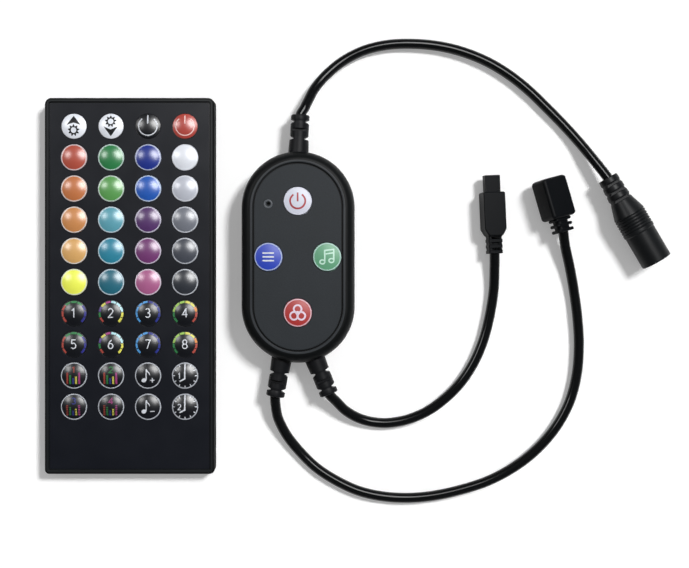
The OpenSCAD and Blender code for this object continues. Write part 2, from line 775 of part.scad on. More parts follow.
module controller_cover() {
  rebate_top = gland_z + tongue_h + tongue_gap;
  shell = concat(
    [[box_wall, rebate_top], [box_wall / 2, rebate_top], [box_wall / 2, gland_z],
     [0, gland_z]],
    arc([shoulder_w, box_shoulder_z], shoulder_w, box_h - box_shoulder_z, 180, 90),
    [[ridge_inset, box_h], [ridge_inset, face_top - face_groove_d],
     [face_inset, face_top - face_groove_d], [face_inset, face_z],
     [face_inset - ridge_w, face_z], [box_wall, box_shoulder_z]]
  );
  color("darkslategrey")
    difference() {
      translate([box_x, box_rise, 0]) {
        sweep_round(box_w, box_l, box_r)
          polygon(shell);
        plate(box_w - 2 * face_inset + 2 * play, box_l - 2 * face_inset + 2 * play,
              box_r - face_inset + play, face_z, face_t);
      }
      for (place = button_places)
        translate([box_x + place[0], box_rise + place[1], face_z - overrun])
          cylinder(h = face_t + 2 * overrun, d = button_d + 2 * button_fit);
      translate([box_x - mic_left, box_rise + mic_rise, face_z - overrun])
        cylinder(h = face_t + 2 * overrun, d = mic_hole_d);
      translate([box_x - mic_left, box_rise + mic_rise, face_top - mic_dish_h])
        cylinder(h = 2 * mic_dish_h, d1 = mic_hole_d, d2 = 2 * mic_dish_d - mic_hole_d);
      gland_ways();
    }
}

module controller_base() {
  shell = concat(
    [[box_wall, box_floor_t], [box_wall, gland_z + tongue_h],
     [box_wall / 2 + play, gland_z + tongue_h], [box_wall / 2 + play, gland_z],
     [0, gland_z]],
    arc([box_edge_r, box_edge_r], box_edge_r, box_edge_r, 180, 270),
    [[box_wall, 0]]
  );
  color("black")
    difference() {
      translate([box_x, box_rise, 0]) {
        sweep_round(box_w, box_l, box_r)
          polygon(shell);
        plate(box_w - box_wall, box_l - box_wall, box_r - box_wall / 2, 0, box_floor_t);
        for (share = box_post_places_share)
          translate([share[0] * box_r, share[1] * box_l / 2, box_floor_t])
            cylinder(h = box_post_h - play, d = box_post_d);
      }
      gland_ways();
    }
}

module controller_board() {
  chip_w = box_w * chip_w_share;
  chip_l = box_l * chip_l_share;
  color("darkgreen")
    translate([box_x, box_rise, 0]) {
      plate(box_w - 2 * board_inset, box_l - 2 * board_inset, box_r - board_inset,
            box_board_z, box_board_t);
      for (place = button_places)
        translate([place[0], place[1], box_board_top]) {
          translate([-switch_w / 2, -switch_w / 2, 0])
            cube([switch_w, switch_w, switch_h]);
          cylinder(h = switch_h + plunger_h, d = plunger_d);
        }
      translate([-mic_left, mic_rise, box_board_top])
        cylinder(h = mic_capsule_h, d = mic_capsule_d);
      translate([-chip_w / 2, -chip_l / 2, box_board_top])
        cube([chip_w, chip_l, chip_t]);
      for (i = [0 : transistors - 1])
        translate([(2 * i - transistors + 0.5) * transistor_w,
                   -box_l / 2 + board_inset + transistor_w / 2, box_board_top])
          cube([transistor_w, transistor_w, transistor_t]);
    }
}

// One gland along its own axis, whose zero is on the box's side
module gland() {
  ribbed_z = gland_stand + collar_l + gland_slot_w;
  lock_z = -box_wall - lock_flange_gap;
  slots = [[gland_stand + collar_l, 0], [ribbed_z + (ribbed_l - gland_slot_w) / 2, 90],
           [ribbed_z + ribbed_l, 0]];
  difference() {
    union() {
      translate([0, 0, lock_z - lock_flange_t])
        cylinder(h = lock_flange_t, d = neck_d + 2 * lock_flange_w);
      translate([0, 0, lock_z - lock_flange_t])
        cylinder(h = lock_flange_t - lock_z + gland_stand + collar_l, d = neck_d);
      translate([0, 0, gland_stand])
        cylinder(h = collar_l, d1 = collar_d, d2 = collar_end_d);
      translate([0, 0, gland_stand + collar_l])
        cylinder(h = gland_l - gland_stand - collar_l, d = ribbed_d);
    }
    for (slot = slots, side = [0, 180])
      rotate([0, 0, slot[1] + side])
        translate([-collar_d, gland_core, slot[0]])
          cube([2 * collar_d, collar_d, gland_slot_w]);
  }
}

module cable_glands() {
  color("black")
    for (i = [0 : len(gland_places) - 1])
      lay(gland_places[i][0], gland_places[i][1], gland_z, gland_headings[i])
        gland();
}

// Leads

function heading_axis(a) = [cos(a), sin(a), 0];

// The point where a gland's cord leaves it
function gland_mouth(i) =
  [gland_places[i][0], gland_places[i][1], gland_z] + gland_l * heading_axis(gland_headings[i]);

function path_axis(path, i, ends) =
  i == 0 ? ends[0]
  : i == len(path) - 1 ? ends[1]
  : let (step = path[i + 1] - path[i - 1]) step / norm(step);

function cord_ring(centre, axis) =
  let (side = cross(axis, [0, 0, 1]), level = side / norm(side), up = cross(level, axis))
  [for (k = [0 : cord_sides - 1])
    centre + cord_r * (cos(360 * k / cord_sides) * level + sin(360 * k / cord_sides) * up)];

// A cord along a route, square to the given axes at its two ends
module cord(path, ends) {
  last = (len(path) - 1) * cord_sides;
  points = [for (i = [0 : len(path) - 1]) each cord_ring(path[i], path_axis(path, i, ends))];
  sides = [
    for (i = [0 : len(path) - 2], k = [0 : cord_sides - 1])
      let (a = i * cord_sides + k, b = i * cord_sides + (k + 1) % cord_sides)
      each [[a, b, a + cord_sides], [b, b + cord_sides, a + cord_sides]]
  ];
  start = [for (k = [cord_sides - 1 : -1 : 0]) k];
  end = [for (k = [0 : cord_sides - 1]) last + k];
  color("black")
    polyhedron(points, concat(sides, [start, end]), convexity = 4);
}

module power_lead() {
  mouth = [jack_x, jack_y, jack_z];
  cord(concat([gland_mouth(0)], power_route, [mouth]),
       [heading_axis(gland_headings[0]), heading_axis(jack_heading)]);
}

module strip_lead_inner() {
  mouth = [plug_x, plug_y, plug_z];
  cord(concat([gland_mouth(2)], inner_route, [mouth]),
       [heading_axis(gland_headings[2]), heading_axis(plug_heading)]);
}

module strip_lead_outer() {
  mouth = [socket_x, socket_y, socket_z];
  cord(concat([gland_mouth(1)], outer_route, [mouth]),
       [heading_axis(gland_headings[1]), heading_axis(socket_heading)]);
}

// A slot across both faces of a piece on its own axis
module face_slot(z, w, reach) {
  for (side = [0, 180])
    rotate([0, 0, side])
      translate([reach, -jack_barrel_d, z])
        cube([jack_barrel_d, 2 * jack_barrel_d, w]);
}

module power_socket() {
  barrel_r = jack_barrel_d / 2;
  grip_r = barrel_r + jack_grip_rise;
  color("black")
    lay(jack_x, jack_y, jack_z, jack_heading)
      difference() {
        rotate_extrude()
          polygon([
            [0, 0], [relief_d / 2, 0], [relief_end_d / 2, relief_l],
            [grip_r, jack_grip_z], [grip_r, jack_barrel_z - jack_grip_rise],
            [barrel_r, jack_barrel_z], [barrel_r, jack_l - jack_mouth_chamfer],
            [barrel_r - jack_mouth_chamfer, jack_l], [0, jack_l]
          ]);
        for (i = [1 : relief_slots])
          face_slot(i * relief_slot_pitch - relief_slot_w, relief_slot_w, relief_slot_reach);
        for (i = [0 : grip_slots - 1])
          face_slot(jack_grip_z + i * grip_slot_pitch, grip_slot_w, grip_slot_reach);
        translate([0, 0, jack_l - jack_bore_l])
          cylinder(h = jack_bore_l + overrun, d = jack_bore_d);
      }
}

// A flat strain relief with slots across it in turn at the sides and at the faces
module flat_relief(w, h, l, slots, slot_l, pitch, flange_l) {
  difference() {
    translate([-h / 2, -w / 2, 0])
      cube([h, w, l]);
    for (i = [0 : slots - 1], side = [-1, 1]) {
      translate([-h, side > 0 ? gland_core : -w - gland_core, flange_l + i * pitch])
        cube([2 * h, w, slot_l]);
      translate([side > 0 ? gland_core : -h - gland_core, -w * face_slot_share / 2,
                 flange_l + i * pitch])
        cube([h, w * face_slot_share, slot_l]);
    }
  }
}

module strip_plug() {
  half_w = plug_w / 2;
  taper_w = plug_relief_w / 2;
  color("black")
    lay(plug_x, plug_y, plug_z, plug_heading, plug_roll)
      difference() {
        union() {
          flat_relief(plug_relief_w, plug_relief_h, plug_relief_l + play, plug_slots,
                      gland_slot_w, plug_slot_pitch, plug_end_flange_l);
          intersection() {
            rotate([90, 0, 90])
              translate([0, 0, -plug_h / 2])
                linear_extrude(plug_h)
                  polygon([
                    [-taper_w, plug_relief_l], [taper_w, plug_relief_l],
                    [half_w, plug_body_z], [half_w, nose_z - plug_edge],
                    [half_w - plug_edge, nose_z], [plug_edge - half_w, nose_z],
                    [-half_w, nose_z - plug_edge], [-half_w, plug_body_z]
                  ]);
            translate([0, 0, plug_relief_l])
              linear_extrude(nose_z)
                rounded_rect(plug_h, plug_w, plug_edge);
          }
          translate([-nose_h / 2, -nose_w / 2, nose_z - play])
            cube([nose_h, nose_w, nose_l + play]);
        }
        for (i = [0 : pins - 1])
          translate([-nose_hole_w / 2, (i - (pins - 1) / 2) * pin_pitch - nose_hole_w / 2, nose_z])
            cube([nose_hole_w, nose_hole_w, nose_l + overrun]);
      }
}

module strip_socket() {
  mouth_w = nose_w + 2 * nose_fit;
  mouth_h = nose_h + 2 * nose_fit;
  color("black")
    lay(socket_x, socket_y, socket_z, socket_heading, socket_roll) {
      for (i = [0 : socket_ridges - 1])
        translate([0, 0, i * ridge_pitch])
          linear_extrude(ridge_t)
            rounded_rect(socket_relief_h, socket_relief_w, socket_edge_r);
      linear_extrude(socket_relief_l + play)
        rounded_rect(socket_core_h, socket_core_w, socket_edge_r);
      difference() {
        translate([0, 0, socket_relief_l])
          linear_extrude(socket_l)
            rounded_rect(socket_h, socket_w, socket_edge_r);
        translate([-mouth_h / 2, -mouth_w / 2, socket_mouth_z - nose_l - nose_fit])
          cube([mouth_h, mouth_w, nose_l + nose_fit + overrun]);
      }
    }
}

// The metal in the connectors: the power socket's pin and the strip socket's pins
module lead_contacts() {
  color("silver") {
    lay(jack_x, jack_y, jack_z, jack_heading)
      translate([0, 0, jack_l - jack_bore_l])
        cylinder(h = jack_bore_l - jack_pin_drop, d = jack_pin_d);
    lay(socket_x, socket_y, socket_z, socket_heading, socket_roll)
      for (i = [0 : pins - 1])
        translate([-pin_w / 2, (i - (pins - 1) / 2) * pin_pitch - pin_w / 2,
                   socket_mouth_z - nose_l - nose_fit])
          cube([pin_w, pin_w, pin_l]);
  }
}

for (i = [0 : len(key_names) - 1])
  handset_key(i);
for (i = [0 : len(button_names) - 1])
  box_button(i);
handset_front_shell();
handset_back_shell();
handset_board();
battery_drawer();
coin_cell();
controller_cover();
controller_base();
controller_board();
cable_glands();
power_lead();
strip_lead_inner();
strip_lead_outer();
power_socket();
strip_plug();
strip_socket();
lead_contacts();
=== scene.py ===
"""Looks of a controller set for a colour LED strip.

The set is a flat remote handset with forty keys, an in-line control box with four
buttons, and the box's three leads with their connectors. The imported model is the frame:
the classes here build detailed pieces in its places and give every surface its finish.
Sizes are in millimetres unless a name says otherwise.
"""

import json
import logging
import math
from collections.abc import Callable, Mapping, Sequence
from dataclasses import dataclass
from enum import Enum
from typing import ClassVar

import bmesh
import bpy
import numpy as np
from mathutils import Matrix, Vector


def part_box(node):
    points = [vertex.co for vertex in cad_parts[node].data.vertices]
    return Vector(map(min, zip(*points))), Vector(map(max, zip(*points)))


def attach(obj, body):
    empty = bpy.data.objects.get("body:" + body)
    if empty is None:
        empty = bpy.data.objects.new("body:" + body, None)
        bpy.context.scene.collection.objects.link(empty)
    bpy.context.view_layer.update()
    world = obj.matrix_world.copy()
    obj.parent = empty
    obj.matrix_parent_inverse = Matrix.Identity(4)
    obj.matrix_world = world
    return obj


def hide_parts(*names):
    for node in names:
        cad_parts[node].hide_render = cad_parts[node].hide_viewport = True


LOG = logging.getLogger("controller_set")
MM = 0.001

Vec2 = tuple[float, float]
Vec3 = tuple[float, float, float]
Shade = tuple[int, int, int]
Tones = Sequence[int] | int
# Height, size down, size across and corner radius of a rounded rectangle
Section = tuple[float, float, float, float | Vec2]


# Shader expressions


def linear(shade: Shade, gain: float = 1.0) -> tuple[float, float, float, float]:
    """Turns a shade as seen on a screen into a colour for a shader.

    Args:
        shade: Red, green and blue from 0 to 255.
        gain: Factor on the light that the colour sends back.

    Returns:
        Red, green, blue and alpha as shares of full light.
    """
    levels = [part / 255 for part in shade]
    light = [v / 12.92 if v <= 0.04045 else ((v + 0.055) / 1.055) ** 2.4 for v in levels]
    return (*(min(1.0, gain * v) for v in light), 1.0)


@dataclass(frozen=True)
class Wire:
    """An output socket whose arithmetic adds Math nodes to its tree."""

    shader: "Shader"
    socket: bpy.types.NodeSocket

    def math(self, operation: str, *operands: "Wire | float") -> "Wire":
        """Adds a Math node for an operation on operands, and gives its output."""
        return self.shader.node("ShaderNodeMath", {"operation": operation}, dict(enumerate(operands)))

    def __add__(self, other: "Wire | float") -> "Wire":
        """Adds a wire or a number."""
        return self.math("ADD", self, other)

    def __sub__(self, other: "Wire | float") -> "Wire":
        """Takes a wire or a number away."""
        return self.math("SUBTRACT", self, other)

    def __rsub__(self, other: float) -> "Wire":
        """Takes this wire away from a number."""
        return self.math("SUBTRACT", other, self)

    def __mul__(self, other: "Wire | float") -> "Wire":
        """Multiplies by a wire or a number."""
        return self.math("MULTIPLY", self, other)

    def __gt__(self, other: "Wire | float") -> "Wire":
        """Gives 1 where this wire is the greater, and 0 elsewhere."""
        return self.math("GREATER_THAN", self, other)

    def __or__(self, other: "Wire") -> "Wire":
        """Gives the greater of two masks."""
        return self.math("MAXIMUM", self, other)

    __radd__ = __add__
    __rmul__ = __mul__


class Shader:
    """A node tree in the making, of a material or of the world."""

    def __init__(self, tree: bpy.types.NodeTree) -> None:
        """Takes a node tree and empties it."""
        self.tree = tree
        tree.nodes.clear()

    def node(
        self,
        kind: str,
        settings: Mapping[str, object] | None = None,
        sockets: Mapping[int | str, object] | None = None,
        output: int | str = 0,
    ) -> Wire:
        """Adds a node of any type.

        Args:
            kind: The node's type.
            settings: Its properties, set before its sockets.
            sockets: Values or wires for its inputs, by name or place.
            output: The output to hand back, by name or place.

        Returns:
            The wire of that output.
        """
        node = self.tree.nodes.new(kind)
        for name, value in (settings or {}).items():
            setattr(node, name, value)
        for key, value in (sockets or {}).items():
            if isinstance(value, Wire):
                self.tree.links.new(value.socket, node.inputs[key])
            else:
                node.inputs[key].default_value = value
        return Wire(self, node.outputs[output])

    def place(self) -> Wire:
        """Gives the point on the piece, in metres."""
        return self.node("ShaderNodeTexCoord", output="Object")

    def height(self, point: Wire) -> Wire:
        """Gives a point's third coordinate."""
        return self.node("ShaderNodeSeparateXYZ", None, {"Vector": point}, "Z")

    def noise(self, grain_mm: float, detail: float = 2.0) -> Wire:
        """Gives a cloud of values round a half, in patches of this size with finer layers."""
        sockets = {"Vector": self.place(), "Scale": 1 / (grain_mm * MM), "Detail": detail}
        return self.node("ShaderNodeTexNoise", None, sockets)

    def mix(self, share: Wire | float, first: object, second: object) -> Wire:
        """Blends two colours, or their wires, by the share of the second that shows."""
        # A Mix node repeats its sockets' names for each kind of data, so places pick the colours
        sockets = {0: share, 6: first, 7: second}
        return self.node("ShaderNodeMix", {"data_type": "RGBA"}, sockets, 2)

    def relief(self, height: Wire, depth_mm: float) -> Wire:
        """Turns heights from 0 to 1 into the normal of a bumpy surface, of a depth in millimetres."""
        return self.node("ShaderNodeBump", None, {"Height": height, "Distance": depth_mm * MM})

    def close(self, surface: Wire, target: str = "ShaderNodeOutputMaterial") -> None:
        """Ends the tree with what its surface shows, in an output node of the type given."""
        end = self.tree.nodes.new(target)
        self.tree.links.new(surface.socket, end.inputs["Surface"])


def new_material(name: str) -> tuple[bpy.types.Material, Shader]:
    """Makes an empty material.

    Args:
        name: The material's name.

    Returns:
        The material and its shader.
    """
    material = bpy.data.materials.new(name)
    material.use_nodes = True
    return material, Shader(material.node_tree)


# Finishes


@dataclass(frozen=True)
class Finish:
    """How a surface looks, made into one material for each name."""

    made: ClassVar[dict[str, bpy.types.Material]] = {}

    name: str
    shade: Shade

    def blend(self, shader: Shader, share: Wire, low: float, high: float) -> Wire:
        """Varies the finish's colour from a low strength to a high one, where the share is 1."""
        return shader.mix(share, linear(self.shade, low), linear(self.shade, high))

    def sockets(self, shader: Shader) -> dict[str, object]:
        """Gives the surface's values and wires by its sockets' names."""
        raise NotImplementedError

    def material(self) -> bpy.types.Material:
        """Gives the finish's material, and makes it the first time.

        Returns:
            The material.
        """
        if self.name not in self.made:
            material, shader = new_material(self.name)
            shader.close(shader.node("ShaderNodeBsdfPrincipled", None, self.sockets(shader)))
            self.made[self.name] = material
        return self.made[self.name]


@dataclass(frozen=True)
class Moulded(Finish):
    """Moulded plastic or rubber with a fine grain and slightly uneven colour."""

    roughness: float
    specular: float = 0.5
    grain_mm: float = 0.4
    grain_depth: float = 0.012
    mottle: float = 0.12
    cloud_mm: float = 9.0
    cloud_share: float = 0.4
    roughness_spread: float = 0.08

    def sockets(self, shader: Shader) -> dict[str, object]:
        """Gives the surface's values and wires.

        Args:
            shader: The material's shader.

        Returns:
            The values and wires by their sockets' names.
        """
        grain, cloud = shader.noise(self.grain_mm), shader.noise(self.cloud_mm)
        spread = grain * (1 - self.cloud_share) + cloud * self.cloud_share
        return {
            "Base Color": self.blend(shader, spread, 1 - self.mottle, 1 + self.mottle),
            "Roughness": self.roughness + (cloud - 0.5) * self.roughness_spread,
            "Specular IOR Level": self.specular,
            "Normal": shader.relief(grain, self.grain_depth),
        }


@dataclass(frozen=True)
class Lacquered(Finish):
    """A printed and lacquered dome: even colour, fine flakes and a clear soft gloss."""

    roughness: float = 0.3
    coat: float = 0.9
    coat_roughness: float = 0.27
    flake_mm: float = 0.12
    flake_share: float = 0.06
    wave_mm: float = 2.5
    wave_depth: float = 0.002

    def sockets(self, shader: Shader) -> dict[str, object]:
        """Gives the surface's values and wires.

        Args:
            shader: The material's shader.

        Returns:
            The values and wires by their sockets' names.
        """
        flakes, waves = shader.noise(self.flake_mm, 1.0), shader.noise(self.wave_mm)
        return {
            "Base Color": self.blend(shader, flakes, 1 - self.flake_share, 1 + self.flake_share),
            "Roughness": self.roughness + (flakes - 0.5) * self.flake_share,
            "Normal": shader.relief(waves, self.wave_depth),
            "Coat Weight": self.coat,
            "Coat Roughness": self.coat_roughness,
        }


@dataclass(frozen=True)
class Plated(Finish):
    """Plated metal with fine scratches."""

    roughness: float = 0.28
    roughness_spread: float = 0.2
    scratch_mm: float = 0.15
    scratch_depth: float = 0.003
    dull: float = 0.85

    def sockets(self, shader: Shader) -> dict[str, object]:
        """Gives the surface's values and wires.

        Args:
            shader: The material's shader.

        Returns:
            The values and wires by their sockets' names.
        """
        scratches = shader.noise(self.scratch_mm, 4.0)
        return {
            "Base Color": self.blend(shader, scratches, self.dull, 1.0),
            "Metallic": 1.0,
            "Roughness": self.roughness + (scratches - 0.5) * self.roughness_spread,
            "Normal": shader.relief(scratches, self.scratch_depth),
        }


@dataclass(frozen=True)
class Populated(Finish):
    """A circuit board: solder mask on its plate, metal domes above and a contact below."""

    metal: Shade
    plate_low: float
    plate_high: float
    copper_mm: float = 1.6
    copper_level: float = 0.52
    copper_gain: float = 1.5
    roughness: float = 0.45
    metal_polish: float = 0.15

    def sockets(self, shader: Shader) -> dict[str, object]:
        """Gives the surface's values and wires.

        Args:
            shader: The material's shader.

        Returns:
            The values and wires by their sockets' names.
        """
        height = shader.height(shader.place())
        above = height > self.plate_high * MM
        below = (self.plate_low * MM - height) > 0.0
        bare = above | below
        tracks = shader.noise(self.copper_mm, 0.0) > self.copper_level
        board = self.blend(shader, tracks, 1.0, self.copper_gain)
        return {
            "Base Color": shader.mix(bare, board, linear(self.metal)),
            "Metallic": bare,
            "Roughness": self.roughness - bare * self.metal_polish,
        }


class Ink(Enum):
    """Printing inks, by their shade."""

    BLACK = (12, 14, 20)
    WHITE = (212, 216, 223)
    PALE_PINK = (236, 200, 196)
    BRICK = (166, 58, 66)
    MINT = (190, 226, 208)
    LILAC = (222, 202, 218)
    RED = (170, 74, 64)
    GREEN = (50, 124, 72)
    BLUE = (42, 44, 126)
    SKY = (78, 150, 212)
    NAVY = (38, 48, 132)
    VIOLET = (92, 72, 142)
    MAGENTA = (160, 62, 128)
    ICE = (176, 220, 228)
    YELLOW = (214, 210, 86)
    LIME = (154, 196, 88)
    ORANGE = (222, 138, 62)
    DEEP_RED = (142, 58, 48)
    DEEP_GREEN = (42, 112, 60)
    DEEP_BLUE = (44, 52, 118)
    DEEP_YELLOW = (178, 172, 72)
    DEEP_MAGENTA = (140, 52, 108)

    def material(self) -> bpy.types.Material:
        """Gives the ink's material."""
        look = {"grain_mm": 0.2, "grain_depth": 0.002, "mottle": 0.05}
        return Moulded("ink_" + self.name.lower(), self.value, 0.42, 0.35, **look).material()


PANEL_FILM = Moulded("panel_film", (15, 18, 26), 0.33, 0.3, grain_mm=0.5, grain_depth=0.006, mottle=0.3)
HANDSET_PLASTIC = Moulded("handset_plastic", (22, 25, 27), 0.4, 0.22, grain_mm=0.35)
# Painted shade: a darker, duller copy of the handset plastic for the handset's sides (the rim's outer
# wall and rounding, the back shell and the drawer), standing in for the shade that falls there
HANDSET_SIDE_PAINTED_SHADE = Moulded(
    "handset_side_painted_shade", (14, 15, 16), 0.7, 0.08, grain_mm=0.25, grain_depth=0.03, mottle=0.3
)
BOX_PLASTIC = Moulded("box_plastic", (14, 16, 17), 0.42, 0.1, grain_mm=0.35)
# Painted light: a lighter copy of the box plastic for the ridge's top and inner rounding, standing in for
# the light that the ridge catches
BOX_RIDGE_PAINTED_LIGHT = Moulded("box_ridge_painted_light", (37, 41, 45), 0.4, 0.25, grain_mm=0.35)
# Partly painted light: the raised ring round the microphone hole is real, but its tone lighter than the
# face stands in for the light on its slopes
MIC_RING_PAINTED_LIGHT = Moulded("mic_ring", (82, 86, 91), 0.4, 0.3, grain_mm=0.25, grain_depth=0.006)
BOX_FACE = Moulded("box_face", (40, 44, 48), 0.5, 0.15, grain_mm=0.5, grain_depth=0.02, mottle=0.3)
GLAND_RUBBER = Moulded("gland_rubber", (17, 18, 21), 0.48, 0.16, grain_mm=0.3)
CORD_JACKET = Moulded("cord_jacket", (16, 17, 18), 0.12, 0.2, grain_mm=1.2, grain_depth=0.005, mottle=0.1)
CONNECTOR_PLASTIC = Moulded("connector_plastic", (12, 14, 17), 0.42, 0.1, grain_mm=0.3)
JACK_PLASTIC = Moulded("jack_plastic", (19, 21, 23), 0.4, 0.2, grain_mm=0.3)
CELL_STEEL = Plated("cell_steel", (188, 188, 186))
CONTACT_METAL = Plated("contact_metal", (206, 190, 140))
SOLDER_MASK: Shade = (28, 84, 48)


# Meshes in the making


def fillet(corners: Sequence[tuple[float, ...]], steps: int = 4, closed: bool = False) -> list[Vec2]:
    """Rounds the corners of a path.

    Args:
        corners: Each corner's two coordinates, then its radius if it has one.
        steps: Facets of each arc.
        closed: Whether the path's end meets its start.

    Returns:
        The points of the rounded path.
    """
    path: list[Vec2] = []
    last = len(corners) - 1
    for i, corner in enumerate(corners):
        here = Vector(corner[:2])
        if len(corner) < 3 or (not closed and i in (0, last)):
            path.append(tuple(here))
            continue
        back = (Vector(corners[i - 1][:2]) - here).normalized()
        ahead = (Vector(corners[(i + 1) % (last + 1)][:2]) - here).normalized()
        half = back.angle(ahead) / 2
        run = corner[2] / math.tan(half)
        centre = here + (back + ahead).normalized() * corner[2] / math.sin(half)
        start, end = here + back * run - centre, here + ahead * run - centre
        for k in range(steps + 1):
            path.append(tuple(centre + start.lerp(end, k / steps).normalized() * corner[2]))
    return path


def arc(centre: Vec2, radii: Vec2, start: float, end: float, steps: int) -> np.ndarray:
    """Points along an arc of an ellipse.

    Args:
        centre: The ellipse's middle.
        radii: Its two radii.
        start: First angle in degrees.
        end: Last angle in degrees.
        steps: Number of stretches.

    Returns:
        One row of two coordinates for each point.
    """
    turn = np.radians(np.linspace(start, end, steps + 1))
    return np.stack([centre[0] + radii[0] * np.cos(turn), centre[1] + radii[1] * np.sin(turn)], 1)


def circle(centre: Vec2, radius: float, steps: int) -> np.ndarray:
    """Points once round a circle, the last on the first."""
    return arc(centre, (radius, radius), 0, 360, steps)


def rounded(width: float, length: float, radius: float | Vec2, steps: int = 8) -> np.ndarray:
    """Points of a rounded rectangle about the origin.

    Args:
        width: Its size along the first axis.
        length: Its size along the second axis.
        radius: Radius of its corners, or of the two far ones and of the two near ones.
        steps: Facets of each corner.

    Returns:
        One row of two coordinates for each point, anticlockwise.
    """
    least = 0.05
    far, near = np.maximum(np.broadcast_to(radius, 2), least)
    corners = [(1, 1, far), (-1, 1, far), (-1, -1, near), (1, -1, near)]
    return np.concatenate([
        arc((sx * (width / 2 - r), sy * (length / 2 - r)), (r, r), 90 * k, 90 * (k + 1), steps)
        for k, (sx, sy, r) in enumerate(corners)
    ])


def at_height(flat: np.ndarray, z: float) -> np.ndarray:
    """Sets flat points at a height."""
    return np.column_stack([flat, np.full(len(flat), z)])


def lying(spot: Vec3, heading: float, roll: float = 0.0) -> Matrix:
    """Place of a piece that is built upwards from its cord end and lies on its side.

    Args:
        spot: Where its cord end is.
        heading: Its direction in the plane, in degrees from the right.
        roll: Its turn about its own axis, in degrees.

    Returns:
        The matrix that takes the piece there.
    """
    return (
        Matrix.Translation(spot)
        @ Matrix.Rotation(math.radians(heading), 4, "Z")
        @ Matrix.Rotation(math.radians(90), 4, "Y")
        @ Matrix.Rotation(math.radians(roll), 4, "Z")
    )


